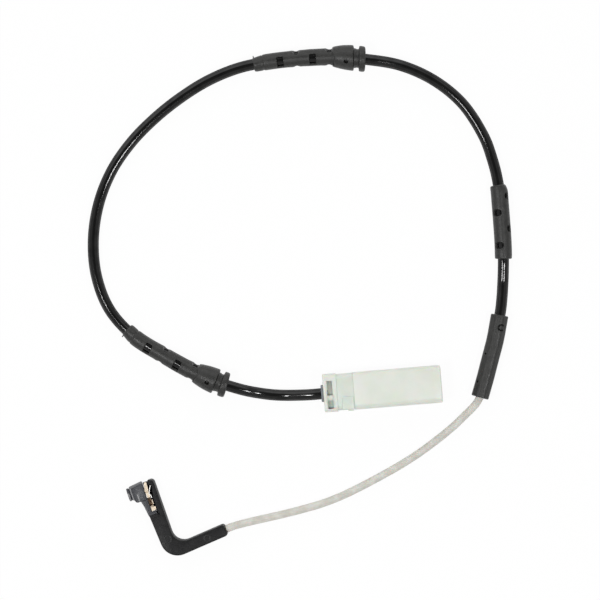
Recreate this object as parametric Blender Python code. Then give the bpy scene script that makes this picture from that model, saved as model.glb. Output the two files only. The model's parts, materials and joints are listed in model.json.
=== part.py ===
"""A brake pad wear sensor with its leads, laid out flat on a floor at z = 0, in metres with +Z up.

The moulded head lies at the origin. A grey lead runs from it to a splice sleeve, and a round black lead
runs on from there through a guide sleeve and two grommets to the plug.
"""

import math

import bmesh
import bpy
from mathutils import Matrix, Vector

# Clearance between a piece and whatever it sits on, passes through or butts against.
GAP = 0.0003

# Leads and the insulated cores inside them.
BLACK_LEAD_DIAMETER = 0.0043
GREY_LEAD_DIAMETER = 0.0030
CORE_DIAMETER = 0.0012
CORE_STUB = 0.0026
PAIR = (("a", 1), ("b", -1))  # letters of two pieces that lie side by side, and the side of each
POINT_SPACING = 2.0  # distance between the points of a lead, in diameters
ROUTE_STEPS = 16  # steps between two of a route's own points

# The black lead's centre line, from inside the plug to inside the splice sleeve.
BLACK_ROUTE = [
    (0.0637, 0.0482, 0.0055), (0.0559, 0.0475, 0.0055), (0.0516, 0.0471, 0.0050), (0.0473, 0.0469, 0.0040),
    (0.0420, 0.0468, 0.0027), (0.0368, 0.0470, 0.0023), (0.0314, 0.0477, 0.0029), (0.0262, 0.0487, 0.0042),
    (0.0208, 0.0502, 0.0050), (0.0157, 0.0519, 0.0051), (0.0052, 0.0565, 0.0047), (-0.0054, 0.0624, 0.0041),
    (-0.0168, 0.0696, 0.0034), (-0.0261, 0.0799, 0.0023), (-0.0311, 0.0928, 0.0022), (-0.0323, 0.1066, 0.0022),
    (-0.0303, 0.1203, 0.0022), (-0.0253, 0.1331, 0.0022), (-0.0177, 0.1442, 0.0022), (-0.0086, 0.1535, 0.0022),
    (0.0013, 0.1614, 0.0022), (0.0119, 0.1680, 0.0022), (0.0233, 0.1727, 0.0028), (0.0352, 0.1752, 0.0036),
    (0.0473, 0.1765, 0.0042), (0.0598, 0.1770, 0.0047), (0.0721, 0.1761, 0.0051), (0.0860, 0.1738, 0.0034),
    (0.0989, 0.1681, 0.0022), (0.1098, 0.1592, 0.0022), (0.1177, 0.1473, 0.0022), (0.1215, 0.1372, 0.0025),
    (0.1236, 0.1282, 0.0033), (0.1244, 0.1202, 0.0034), (0.1254, 0.1066, 0.0034), (0.1256, 0.0982, 0.0033),
    (0.1254, 0.0895, 0.0023), (0.1247, 0.0808, 0.0033), (0.1233, 0.0728, 0.0035), (0.1224, 0.0680, 0.0035),
]

# The splice sleeve's centre line, from the black lead's side to the grey lead's.
SPLICE_ROUTE = [
    (0.1243, 0.0785, 0.0035), (0.1233, 0.0728, 0.0035), (0.1224, 0.0680, 0.0035), (0.1212, 0.0634, 0.0035),
    (0.1200, 0.0588, 0.0035), (0.1188, 0.0541, 0.0035), (0.1175, 0.0495, 0.0035), (0.1165, 0.0460, 0.0035),
]

# The grey lead's centre line, from inside the splice sleeve to inside the head.
GREY_ROUTE = [
    (0.1190, 0.0550, 0.0035), (0.1178, 0.0505, 0.0035), (0.1166, 0.0463, 0.0035), (0.1147, 0.0431, 0.0032),
    (0.1111, 0.0394, 0.0024), (0.1066, 0.0350, 0.0017), (0.1003, 0.0298, 0.0016), (0.0934, 0.0247, 0.0016),
    (0.0863, 0.0201, 0.0016), (0.0789, 0.0159, 0.0016), (0.0714, 0.0119, 0.0016), (0.0638, 0.0082, 0.0016),
    (0.0559, 0.0051, 0.0016), (0.0476, 0.0027, 0.0016), (0.0392, 0.0006, 0.0016), (0.0320, -0.0010, 0.0020),
    (0.0263, -0.0023, 0.0027), (0.0222, -0.0034, 0.0030), (0.0190, -0.0046, 0.0030), (0.0153, -0.0063, 0.0030),
    (0.0117, -0.0079, 0.0030),
]

# Rubber sleeves on the black lead: walls, cut-outs and where each one starts along the lead.
SLEEVE_SIDES = 20
SLEEVE_WALL = 0.0007
SLEEVE_BULGE = 0.0002  # how much the wall thickens and thins between the cut-outs
WINDOW_LENGTH = 0.0026
WINDOW_WIDTH = 0.0042
NOTCH_LENGTH = 0.0029
NOTCH_DEPTH = 0.0011
CUTOUT_PITCH = 0.0126

GROMMET_TAIL = 0.0104  # tail end to the first window
GROMMET_BODY_LENGTH = 0.0306
GROMMET_CONE_LENGTH = 0.0047
GROMMET_DRUM_LENGTH = 0.0034
GROMMET_DRUM_WALL = 0.0024
GROMMET_GROOVE_LENGTH = 0.0021
GROMMET_GROOVE_WALL = 0.0013
GROMMET_FLANGE_LENGTH = 0.0023
GROMMET_FLANGE_WALL = 0.0025
GROMMET_VENT_DIAMETER = 0.0015
GROMMET_ROLL = math.radians(22)
TOP_GROMMET_TAIL_AT = 0.2262  # distance along the black route
LOWER_GROMMET_TAIL_AT = 0.0899
LOWER_GROMMET_STRETCH = 1.03

GUIDE_LENGTH = 0.0284
GUIDE_WALL = 0.0009
GUIDE_FIRST_NOTCH = 0.0043
GUIDE_ROLL = math.radians(20)
GUIDE_SLEEVE_AT = 0.3466

# Splice sleeve with its two crimps.
SPLICE_SIDES = 12
SPLICE_WALL = 0.0010
SPLICE_BLACK_DEPTH = 0.0105  # how far the black lead reaches in
SPLICE_GREY_DEPTH = 0.0095
SPLICE_FLARE = 0.0005  # how much the grey lead's bore opens out at its mouth
CRIMP_DIAMETER = 0.0018
CRIMP_SPACING = 0.0004  # clear space between the two crimps

# Plug: its frame's origin is the middle of the rear face, and its local +X points to the mating mouth.
PLUG_PLACE = Vector((0.0563, 0.0476))
PLUG_ANGLE = math.radians(4.7)
PLUG_THICKNESS = 0.0110
PLUG_WIDTH = 0.0144
PLUG_WALL = 0.0014
PLUG_CORNER = 0.0022
CAP_LENGTH = 0.0052
CAP_WIDTH = 0.0147
CAP_REAR_WALL = 0.0014
CAP_WALL = 0.0012
CAP_WINDOW_LENGTH = 0.0021
CAP_WINDOW_WIDTHS = (0.0056, 0.0032)
CAP_WINDOW_MIDDLES = (0.0019, -0.0044)
COLLAR_LENGTH = 0.0059
COLLAR_STEP = 0.0002  # how far the collar stands back from the shroud, all round
SNAP_TAB = Vector((0.0044, 0.0048, 0.0004))
SNAP_LUG = Vector((0.0024, 0.0005, 0.0030))
SHROUD_LENGTH = 0.0338
SHROUD_LIP = 0.0006
CARRIER_REACH = 0.0126  # how far the carrier reaches into the shroud
CONTACT_PITCH = 0.0048
CONTACT_BARREL_DIAMETER = 0.0019
CONTACT_PIN_DIAMETER = 0.0015
CONTACT_BARREL_LENGTH = 0.0080
CONTACT_PIN_LENGTH = 0.0130
SEAL_NOSE_DIAMETER = 0.0070
SEAL_NOSE_REACH = 0.0009  # how far the seal's nose stands out of the cap
SEAL_FLANGE_DIAMETER = 0.0084
SEAL_RIB_DIAMETER = 0.0078
SEAL_RIB_DEPTH = 0.0004
SEAL_LENGTH = 0.0091

# Head: its frame's origin is on the slot's left wall, +Y points along the slot to its open end.
HEAD_PLACE = Vector((-0.0127, 0.0102))
HEAD_ANGLE = math.radians(19.3)
ARM_THICKNESS = 0.0060
ARM_EDGE = 0.0009
SLOT_WIDTH = 0.0022
SLOT_FLOOR = 0.0099  # distance below the head frame's origin
SPINE_WIDTH = 0.0029
SPINE_TOP = 0.0034
ARM_SHOULDER = 0.0013  # how far the arm reaches past the slot's left wall
ARM_NECK = 0.0002
ARM_LENGTH = 0.0235
TAIL_LENGTH = 0.0200
TAIL_WIDTH = 0.0048
TAIL_ANGLE = math.radians(4.2)
ELBOW_INNER_RADIUS = 0.0050
ELBOW_OUTER_RADIUS = 0.0068
TONGUE_RECESS = 0.0013
SPINE_SLOT_RADIUS = 0.0008  # corner of the spine's top on the slot's side
WEB_THICKNESS = 0.0013
WEB_TOP = 0.0020  # end of the web under the slot, towards the slot's open end

BLOCK_LENGTH = 0.0043
BLOCK_WIDTH = 0.0076
BLOCK_STEP = 0.0007
BLOCK_NOSE_LENGTH = 0.0007
NECK_LENGTH = 0.0005
NECK_DIAMETER = 0.0040
TIP_LENGTH = 0.0012
TIP_DIAMETER = 0.0050
STEM_WIDTH = 0.0021
STEM_TOP = 0.0030  # where the stem leaves the block, below the head frame's origin
STEM_TAPER_START = 0.0042
FOOT_HEIGHT = 0.0009
PEG_WIDTH = 0.0026
PEG_HEIGHT = 0.0036
PEG_LENGTH = 0.0042
PEG_OFFSET = 0.0009  # peg's middle, right of the slot's left wall
LOOP_WIRE_DIAMETER = 0.0005
CLIP_SHEET = 0.0004
CLIP_WIDTH = 0.0014
CLIP_TOP = 0.0052
CLIP_LOW = 0.0024
TONGUE_HEIGHT = 0.0024

# Plan route of the two cores in the arm, between the insert's peg and the grey lead's end.
HEAD_CORE_BENDS = [
    (0.0011, -0.0175), (0.0023, -0.0207), (0.0046, -0.0237), (0.0085, -0.0253), (0.0130, -0.0253),
]


def principled(name, colour, roughness, metallic=0.0):
    """A plain Principled material."""
    material = bpy.data.materials.new(name)
    material.use_nodes = True
    shader = material.node_tree.nodes["Principled BSDF"]
    shader.inputs["Base Color"].default_value = (*colour, 1.0)
    shader.inputs["Roughness"].default_value = roughness
    shader.inputs["Metallic"].default_value = metallic
    return material


class Route:
    """A smooth curve through hand-picked points, measured along its length."""

    def __init__(self, points):
        knots = [Vector(point) for point in points]
        knots = [2 * knots[0] - knots[1], *knots, 2 * knots[-1] - knots[-2]]
        self.points = []
        for before, start, end, after in zip(knots, knots[1:], knots[2:], knots[3:]):
            for step in range(ROUTE_STEPS):
                t = step / ROUTE_STEPS
                bend = 2 * before - 5 * start + 4 * end - after
                twist = 3 * start - before - 3 * end + after
                self.points.append(start + 0.5 * t * (end - before + t * (bend + t * twist)))
        self.points.append(knots[-2])
        self.distances = [0.0]
        for start, end in zip(self.points, self.points[1:]):
            self.distances.append(self.distances[-1] + (end - start).length)
        self.length = self.distances[-1]

    def point(self, distance):
        """The place at a distance along the curve, on its end tangent past either end."""
        place = 0
        while place < len(self.points) - 2 and self.distances[place + 1] < distance:
            place += 1
        span = self.distances[place + 1] - self.distances[place]
        return self.points[place].lerp(self.points[place + 1], (distance - self.distances[place]) / span)

    def frame(self, distance, backward=False, roll=0.0):
        """Axes there: X along the curve, Y to its left and Z up, turned about X by the roll."""
        reach = 0.0008
        along = self.point(distance + reach) - self.point(distance - reach)
        along.normalize()
        if backward:
            along.negate()
        left = Vector((0, 0, 1)).cross(along).normalized()
        turn = Matrix((along, left, along.cross(left))).transposed().to_4x4()
        return Matrix.Translation(self.point(distance)) @ turn @ Matrix.Rotation(roll, 4, "X")


def oval(half_width, half_height, sides, squareness=2.0):
    """Points (y, z) of an oval that is round at 2 and close to a rounded rectangle at 5."""
    points = []
    for side in range(sides):
        angle = 2 * math.pi * (side + 0.5) / sides
        power = 2 / squareness
        y = math.copysign(abs(math.cos(angle)) ** power, math.cos(angle))
        z = math.copysign(abs(math.sin(angle)) ** power, math.sin(angle))
        points.append((half_width * y, half_height * z))
    return points


def rounded_outline(corners):
    """Points of a closed outline whose corners, each (x, y, radius, arc steps), are rounded by arcs."""
    points = []
    for index, (x, y, radius, steps) in enumerate(corners):
        corner = Vector((x, y))
        before = Vector(corners[index - 1][:2]) - corner
        after = Vector(corners[(index + 1) % len(corners)][:2]) - corner
        before.normalize()
        after.normalize()
        half = before.angle(after) / 2
        centre = corner + (before + after).normalized() * radius / math.sin(half)
        start = corner + before * radius / math.tan(half) - centre
        end = corner + after * radius / math.tan(half) - centre
        sweep = start.angle_signed(end)
        for step in range(steps + 1):
            turn = Matrix.Rotation(-sweep * step / steps, 2)
            points.append(centre + turn @ start)
    return points


def rounded_rectangle(width, height, radius):
    """Points (y, z) of a rounded rectangle about its middle."""
    y = width / 2
    z = height / 2
    return rounded_outline([(y, -z, radius, 4), (y, z, radius, 4), (-y, z, radius, 4), (-y, -z, radius, 4)])


def ring(frame, section):
    """A section's points set square to the frame's X."""
    return [frame @ Vector((0, y, z)) for y, z in section]


def rings_along_x(stations):
    """Rings at (x, section) stations of a local frame."""
    return [[Vector((x, y, z)) for y, z in section] for x, section in stations]


def tube_rings(points, radius, sides):
    """Round rings along any path, each turned as little as possible from the one before."""
    rings = []
    across = (points[1] - points[0]).orthogonal()
    for index, point in enumerate(points):
        before = points[max(index - 1, 0)]
        after = points[min(index + 1, len(points) - 1)]
        along = (after - before).normalized()
        across = (across - along * across.dot(along)).normalized()
        up = along.cross(across)
        rings.append([point + across * y + up * z for y, z in oval(radius, radius, sides)])
    return rings


def skin(bm, rings):
    """Quads between each ring and the next. It returns the rings' vertices."""
    loops = [[bm.verts.new(point) for point in points] for points in rings]
    for first, second in zip(loops, loops[1:]):
        for index, vertex in enumerate(first):
            bm.faces.new((first[index - 1], vertex, second[index], second[index - 1]))
    return loops


def add_mesh(name, bm, material, parent=None):
    """The finished mesh as an object with outward normals."""
    bmesh.ops.recalc_face_normals(bm, faces=bm.faces)
    mesh = bpy.data.meshes.new(name)
    bm.to_mesh(mesh)
    bm.free()
    mesh.shade_smooth()
    mesh.set_sharp_from_angle(angle=math.radians(35))
    shape = bpy.data.objects.new(name, mesh)
    if material:
        mesh.materials.append(material)
    shape.parent = parent
    bpy.context.scene.collection.objects.link(shape)
    return shape


def loft(name, rings, material, parent=None):
    """A solid through the rings, with flat ends."""
    bm = bmesh.new()
    loops = skin(bm, rings)
    bm.faces.new(loops[0])
    bm.faces.new(loops[-1])
    return add_mesh(name, bm, material, parent)


def pipe(name, outer, inner, material, parent=None):
    """A hollow loft: both sets of rings end at the same places and have as many points."""
    bm = bmesh.new()
    outside = skin(bm, outer)
    inside = skin(bm, inner)
    for end in (0, -1):
        for index, vertex in enumerate(outside[end]):
            before = outside[end][index - 1]
            bm.faces.new((before, vertex, inside[end][index], inside[end][index - 1]))
    return add_mesh(name, bm, material, parent)


def turned(name, profile, sides, material, parent=None, y=0.0):
    """A closed profile of (x, radius) points spun about a line along X."""
    bm = bmesh.new()
    points = [bm.verts.new((x, 0, radius)) for x, radius in profile]
    edges = [bm.edges.new((points[index - 1], points[index])) for index in range(len(points))]
    bmesh.ops.spin(
        bm, geom=points + edges, cent=(0, 0, 0), axis=(1, 0, 0), angle=2 * math.pi, steps=sides, use_merge=True
    )
    bmesh.ops.remove_doubles(bm, verts=bm.verts, dist=1e-7)
    bmesh.ops.translate(bm, verts=bm.verts, vec=(0, y, 0))
    return add_mesh(name, bm, material, parent)


def add_box(bm, low, high, frame=None):
    """A box between two corners, set in a frame."""
    low = Vector(low)
    high = Vector(high)
    size = Matrix.Diagonal((*(high - low), 1))
    place = Matrix.Translation((low + high) / 2) @ size
    bmesh.ops.create_cube(bm, size=1, matrix=frame @ place if frame else place)


def add_prism(bm, outline, low, high, frame):
    """An outline of (x, y) points pulled from one height to another, set in a frame."""
    rings = [[frame @ Vector((x, y, z)) for x, y in outline] for z in (low, high)]
    loops = skin(bm, rings)
    bm.faces.new(loops[0])
    bm.faces.new(loops[-1])


def carve(target, cutter, operation="DIFFERENCE"):
    """A Boolean of the target with a hidden tool."""
    cutter.hide_render = True
    cutter.display_type = "WIRE"
    modifier = target.modifiers.new(cutter.name, "BOOLEAN")
    modifier.operation = operation
    modifier.solver = "EXACT"
    modifier.object = cutter


def wire(name, points, diameter, material, parent=None, resolution=2):
    """A round wire or lead along the points, with flat ends."""
    curve = bpy.data.curves.new(name, "CURVE")
    curve.dimensions = "3D"
    curve.bevel_depth = diameter / 2
    curve.bevel_resolution = resolution
    curve.use_fill_caps = True
    spline = curve.splines.new("POLY")
    spline.points.add(len(points) - 1)
    for spot, point in zip(spline.points, points):
        spot.co = (*point, 1)
    curve.materials.append(material)
    shape = bpy.data.objects.new(name, curve)
    shape.parent = parent
    bpy.context.scene.collection.objects.link(shape)
    return shape


def lead(name, route, diameter, material, resolution):
    """A lead along its whole route, with a point every few diameters."""
    count = math.ceil(route.length / (POINT_SPACING * diameter))
    points = [route.point(route.length * step / count) for step in range(count + 1)]
    return wire(name, points, diameter, material, resolution=resolution)


def bore_radius(diameter):
    return diameter / 2 + GAP


def cut_outs(name, frame_at, radius, window_places, notch_places):
    """Tools for a sleeve's windows, in its upper and lower side, and for the notches in both flanks."""
    bm = bmesh.new()
    floor = BLACK_LEAD_DIAMETER / 4
    for place in window_places:
        for side in (-1, 1):
            inner = side * floor
            outer = side * 2 * radius
            low = (-WINDOW_LENGTH / 2, -WINDOW_WIDTH / 2, min(inner, outer))
            high = (WINDOW_LENGTH / 2, WINDOW_WIDTH / 2, max(inner, outer))
            add_box(bm, low, high, frame_at(place))
    for place in notch_places:
        for side in (-1, 1):
            inner = side * (radius - NOTCH_DEPTH)
            outer = side * (radius + NOTCH_DEPTH)
            half = NOTCH_LENGTH / 2
            outline = [(-half / 3, inner), (half / 3, inner), (half * 5 / 3, outer), (-half * 5 / 3, outer)]
            add_prism(bm, outline, -radius / 2, 2 * radius, frame_at(place))
    return add_mesh(name, bm, None)


def sleeve(name, frame_at, stations, sides, material):
    """A rubber sleeve through (distance, radius) stations, bored for the black lead."""
    outer = [ring(frame_at(place), oval(radius, radius, sides)) for place, radius in stations]
    length = stations[-1][0]
    bore = bore_radius(BLACK_LEAD_DIAMETER)
    count = math.ceil(length / 0.003)
    inner = [ring(frame_at(length * step / count), oval(bore, bore, sides)) for step in range(count + 1)]
    return pipe(name, outer, inner, material)


def grommet(name, route, tail_at, backward, stretch, material):
    """A sleeve with a windowed body that flares into a grooved drum and a flange."""
    sign = -1 if backward else 1

    def frame_at(place):
        return route.frame(tail_at + sign * stretch * place, backward, GROMMET_ROLL)

    bore = bore_radius(BLACK_LEAD_DIAMETER)
    thin = bore + SLEEVE_WALL
    thick = thin + SLEEVE_BULGE
    drum = bore + GROMMET_DRUM_WALL
    groove = bore + GROMMET_GROOVE_WALL
    flange = bore + GROMMET_FLANGE_WALL
    edge = 0.0003
    drum_start = GROMMET_BODY_LENGTH
    drum_full = drum_start + GROMMET_CONE_LENGTH
    drum_end = drum_full + GROMMET_DRUM_LENGTH
    flange_start = drum_end + GROMMET_GROOVE_LENGTH
    length = flange_start + GROMMET_FLANGE_LENGTH
    window = GROMMET_TAIL
    stations = [(0, thin - edge), (2 * edge, thin)]
    for step in range(4):
        place = window - CUTOUT_PITCH / 2 + step * CUTOUT_PITCH / 2
        stations.append((place, thick if step % 2 else thin))
    stations += [
        (drum_start - 2 * edge, thick),
        (drum_start, thick + 2 * edge),
        (drum_start + GROMMET_CONE_LENGTH / 2, (thick + drum) / 2 + edge),
        (drum_full, drum),
        (drum_end - edge, drum),
        (drum_end, drum - edge),
        (drum_end + edge / 3, groove),
        (flange_start - edge / 3, groove),
        (flange_start, flange - edge),
        (flange_start + edge, flange),
        (length - edge, flange),
        (length, flange - edge),
    ]
    shape = sleeve(name, frame_at, stations, SLEEVE_SIDES, material)
    windows = [window, window + CUTOUT_PITCH]
    notches = [place + CUTOUT_PITCH / 2 for place in windows]
    carve(shape, cut_outs(name + "_cut_outs", frame_at, thin, windows, notches))
    vent = bmesh.new()
    depth = Matrix.Translation((0, 0, drum))
    bmesh.ops.create_cone(
        vent, cap_ends=True, segments=10, radius1=GROMMET_VENT_DIAMETER / 2,
        radius2=GROMMET_VENT_DIAMETER / 2, depth=drum, matrix=frame_at(drum_full) @ depth,
    )
    carve(shape, add_mesh(name + "_vent", vent, None))
    return shape


def guide_sleeve(route, material):
    """The plain sleeve: two windows and two pairs of notches, no drum."""

    def frame_at(place):
        return route.frame(GUIDE_SLEEVE_AT + place, roll=GUIDE_ROLL)

    radius = bore_radius(BLACK_LEAD_DIAMETER) + GUIDE_WALL
    edge = 0.0004
    stations = [(0, radius - edge), (edge, radius)]
    stations += [(GUIDE_LENGTH * part, radius) for part in (0.25, 0.5, 0.75)]
    stations += [(GUIDE_LENGTH - edge, radius), (GUIDE_LENGTH, radius - edge)]
    shape = sleeve("right_guide_sleeve", frame_at, stations, SLEEVE_SIDES, material)
    notches = [GUIDE_FIRST_NOTCH, GUIDE_FIRST_NOTCH + CUTOUT_PITCH]
    windows = [place + CUTOUT_PITCH / 2 for place in notches]
    carve(shape, cut_outs("guide_cut_outs", frame_at, radius, windows, notches))
    return shape


def splice(materials):
    """The faceted splice sleeve with the two crimps and the cores that they join."""
    route = Route(SPLICE_ROUTE)
    offset = (CRIMP_DIAMETER + CRIMP_SPACING) / 2
    black_bore = bore_radius(BLACK_LEAD_DIAMETER)
    grey_bore = bore_radius(GREY_LEAD_DIAMETER)
    chamber = max(black_bore, offset + CRIMP_DIAMETER / 2 + GAP)
    radius = chamber + SPLICE_WALL
    edge = 0.0003
    grey_face = route.length - SPLICE_GREY_DEPTH
    outer_places = [0, edge, *[route.length * part / 7 for part in range(1, 7)]]
    outer_places += [route.length - edge, route.length]
    outer = []
    for index, place in enumerate(outer_places):
        size = radius - edge if index in (0, len(outer_places) - 1) else radius
        outer.append(ring(route.frame(place), oval(size, size, SPLICE_SIDES)))
    inner_sizes = [(route.length * part / 8, chamber) for part in range(6)]
    inner_sizes = [(place, size) for place, size in inner_sizes if place < grey_face - 3 * edge]
    inner_sizes += [(grey_face - 2 * edge, chamber), (grey_face, grey_bore)]
    inner_sizes += [((grey_face + route.length) / 2, grey_bore), (route.length, grey_bore + SPLICE_FLARE)]
    inner = [ring(route.frame(place), oval(size, size, SPLICE_SIDES)) for place, size in inner_sizes]
    pipe("splice_sleeve", outer, inner, materials["sleeve"])

    black_start = SPLICE_BLACK_DEPTH + GAP
    crimp_start = black_start + CORE_STUB + GAP
    grey_end = grey_face - GAP
    crimp_end = grey_end - CORE_STUB - GAP
    spread = (CORE_DIAMETER + GAP) / 2
    for letter, side in PAIR:
        stub = [route.frame(place) @ Vector((0, side * offset, 0)) for place in (black_start, crimp_start - GAP)]
        wire("splice_core_black_" + letter, stub, CORE_DIAMETER, materials["core_" + letter])
        crimp = [route.frame(place) @ Vector((0, side * offset, 0)) for place in (crimp_start, crimp_end)]
        wire("crimp_" + letter, crimp, CRIMP_DIAMETER, materials["crimp"])
        near = route.frame(crimp_end + GAP) @ Vector((0, side * offset, 0))
        far = route.frame(grey_end) @ Vector((0, side * spread, 0))
        wire("splice_core_grey_" + letter, [near, far], CORE_DIAMETER, materials["core_" + letter])


def plug(materials):
    """The plug: rear cap, seal, contact carrier, shroud and two contacts with their cores."""
    frame = bpy.data.objects.new("plug_frame", None)
    frame.location = (*PLUG_PLACE, PLUG_THICKNESS / 2)
    frame.rotation_euler = (0, 0, PLUG_ANGLE)
    bpy.context.scene.collection.objects.link(frame)
    collar_start = CAP_LENGTH + GAP
    collar_end = collar_start + COLLAR_LENGTH
    shroud_start = collar_end + GAP
    shroud_end = shroud_start + SHROUD_LENGTH
    carrier_end = shroud_start + CARRIER_REACH
    seal_bore = SEAL_FLANGE_DIAMETER / 2 + GAP

    rear_cap(frame, materials["plug"])

    section = rounded_rectangle
    lip = SHROUD_LIP
    outer = [
        (shroud_start, section(PLUG_WIDTH - lip, PLUG_THICKNESS - lip, PLUG_CORNER)),
        (shroud_start + lip, section(PLUG_WIDTH, PLUG_THICKNESS, PLUG_CORNER)),
        (shroud_end - lip, section(PLUG_WIDTH, PLUG_THICKNESS, PLUG_CORNER)),
        (shroud_end - lip / 3, section(PLUG_WIDTH - lip, PLUG_THICKNESS - lip, PLUG_CORNER)),
        (shroud_end, section(PLUG_WIDTH - 2 * lip, PLUG_THICKNESS - 2 * lip, PLUG_CORNER)),
    ]
    mouth_width = PLUG_WIDTH - 2 * PLUG_WALL
    mouth_height = PLUG_THICKNESS - 2 * PLUG_WALL
    mouth_corner = PLUG_CORNER / 2
    inner = [
        (place, section(mouth_width, mouth_height, mouth_corner))
        for place in (shroud_start, shroud_end)
    ]
    pipe("plug_housing", rings_along_x(outer), rings_along_x(inner), materials["plug"], frame)

    collar = (PLUG_WIDTH - 2 * COLLAR_STEP, PLUG_THICKNESS - 2 * COLLAR_STEP, PLUG_CORNER)
    core = (mouth_width - 2 * GAP, mouth_height - 2 * GAP, mouth_corner)
    stations = [
        (collar_start, section(*collar)),
        (collar_end, section(*collar)),
        (collar_end, section(*core)),
        (carrier_end, section(*core)),
    ]
    carrier = loft("contact_carrier", rings_along_x(stations), materials["carrier"], frame)
    side = collar[0] / 2
    top = collar[1] / 2
    snap = bmesh.new()
    snap_end = collar_end - GAP
    low = (snap_end - SNAP_TAB.x, -side + GAP, top / 2)
    high = (snap_end, -side + GAP + SNAP_TAB.y, top + SNAP_TAB.z)
    add_box(snap, low, high)
    carve(carrier, add_mesh("carrier_snap_tab", snap, None, frame), "UNION")
    lug = bmesh.new()
    low = (snap_end - SNAP_LUG.x, -side - SNAP_LUG.y, -SNAP_LUG.z / 2)
    high = (snap_end, -side / 2, SNAP_LUG.z / 2)
    add_box(lug, low, high)
    carve(carrier, add_mesh("carrier_snap_lug", lug, None, frame), "UNION")
    chamber = [(collar_start - GAP, 0), (collar_start - GAP, seal_bore), (collar_end - GAP, seal_bore)]
    chamber.append((collar_end - GAP, 0))
    carve(carrier, turned("carrier_chamber", chamber, 24, None, frame))

    seal(frame, materials["seal"])

    channel = CONTACT_BARREL_DIAMETER / 2 + GAP
    barrel_start = collar_end + CORE_DIAMETER
    barrel_end = barrel_start + CONTACT_BARREL_LENGTH
    pin_end = barrel_end + CONTACT_PIN_LENGTH
    pin = CONTACT_PIN_DIAMETER / 2
    barrel = CONTACT_BARREL_DIAMETER / 2
    lead_end = frame.matrix_basis.inverted() @ Vector(BLACK_ROUTE[0])
    spread = (CORE_DIAMETER + GAP) / 2
    for letter, side in PAIR:
        offset = side * CONTACT_PITCH / 2
        cutter = [(collar_end - 2 * GAP, 0), (collar_end - 2 * GAP, channel)]
        cutter += [(carrier_end + GAP, channel), (carrier_end + GAP, 0)]
        carve(carrier, turned("carrier_channel_" + letter, cutter, 16, None, frame, offset))
        profile = [
            (barrel_start, 0), (barrel_start, barrel), (barrel_end, barrel), (barrel_end + pin / 2, pin),
            (pin_end - 2 * pin, pin), (pin_end - pin / 2, pin * 0.7), (pin_end, pin * 0.3), (pin_end, 0),
        ]
        turned("contact_pin_" + letter, profile, 12, materials["contact"], frame, offset)
        start = Vector((lead_end.x + GAP, math.copysign(spread, offset), 0))
        bend = Vector((collar_end, offset, 0))
        end = Vector((barrel_start - GAP, offset, 0))
        wire("plug_core_" + letter, [start, bend, end], CORE_DIAMETER, materials["core_" + letter], frame)


def rear_cap(frame, material):
    """The cap that closes the plug behind the seal, open in front, with two windows in its upper face."""
    section = rounded_rectangle
    edge = 0.0005
    stations = [
        (0, section(CAP_WIDTH - 2 * edge, PLUG_THICKNESS - 2 * edge, PLUG_CORNER)),
        (edge, section(CAP_WIDTH, PLUG_THICKNESS, PLUG_CORNER)),
        (CAP_LENGTH, section(CAP_WIDTH, PLUG_THICKNESS, PLUG_CORNER)),
    ]
    cap = loft("plug_rear_cap", rings_along_x(stations), material, frame)
    hollow = section(CAP_WIDTH - 2 * CAP_WALL, PLUG_THICKNESS - 2 * CAP_WALL, PLUG_CORNER / 2)
    stations = [(CAP_REAR_WALL, hollow), (CAP_LENGTH + GAP, hollow)]
    carve(cap, loft("cap_hollow", rings_along_x(stations), None, frame))
    hole = SEAL_NOSE_DIAMETER / 2 + GAP
    profile = [(-GAP, 0), (-GAP, hole), (CAP_REAR_WALL + GAP, hole), (CAP_REAR_WALL + GAP, 0)]
    carve(cap, turned("cap_hole", profile, 24, None, frame))
    windows = bmesh.new()
    for width, middle in zip(CAP_WINDOW_WIDTHS, CAP_WINDOW_MIDDLES):
        start = CAP_REAR_WALL - GAP
        low = (start, middle - width / 2, PLUG_THICKNESS / 2 - 2 * CAP_WALL)
        high = (start + CAP_WINDOW_LENGTH, middle + width / 2, PLUG_THICKNESS)
        add_box(windows, low, high)
    carve(cap, add_mesh("cap_windows", windows, None, frame))


def seal(frame, material):
    """The rubber seal round the lead: a nose out of the cap, a flange inside it and ribs in the carrier."""
    bore = bore_radius(BLACK_LEAD_DIAMETER)
    nose = SEAL_NOSE_DIAMETER / 2
    flange = SEAL_FLANGE_DIAMETER / 2
    rib = SEAL_RIB_DIAMETER / 2
    start = -SEAL_NOSE_REACH
    flange_start = CAP_REAR_WALL + GAP
    flange_end = CAP_LENGTH
    end = start + SEAL_LENGTH
    pitch = (end - flange_end) / 3
    profile = [(start, bore), (start, nose - GAP), (start + GAP, nose), (flange_start, nose)]
    profile += [(flange_start, flange), (flange_end, flange)]
    for turn in range(3):
        place = flange_end + turn * pitch
        profile += [(place + pitch * 0.2, rib - SEAL_RIB_DEPTH), (place + pitch * 0.6, rib)]
    profile += [(end, rib - SEAL_RIB_DEPTH), (end, bore)]
    turned("cable_seal", profile, 24, material, frame)


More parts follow.
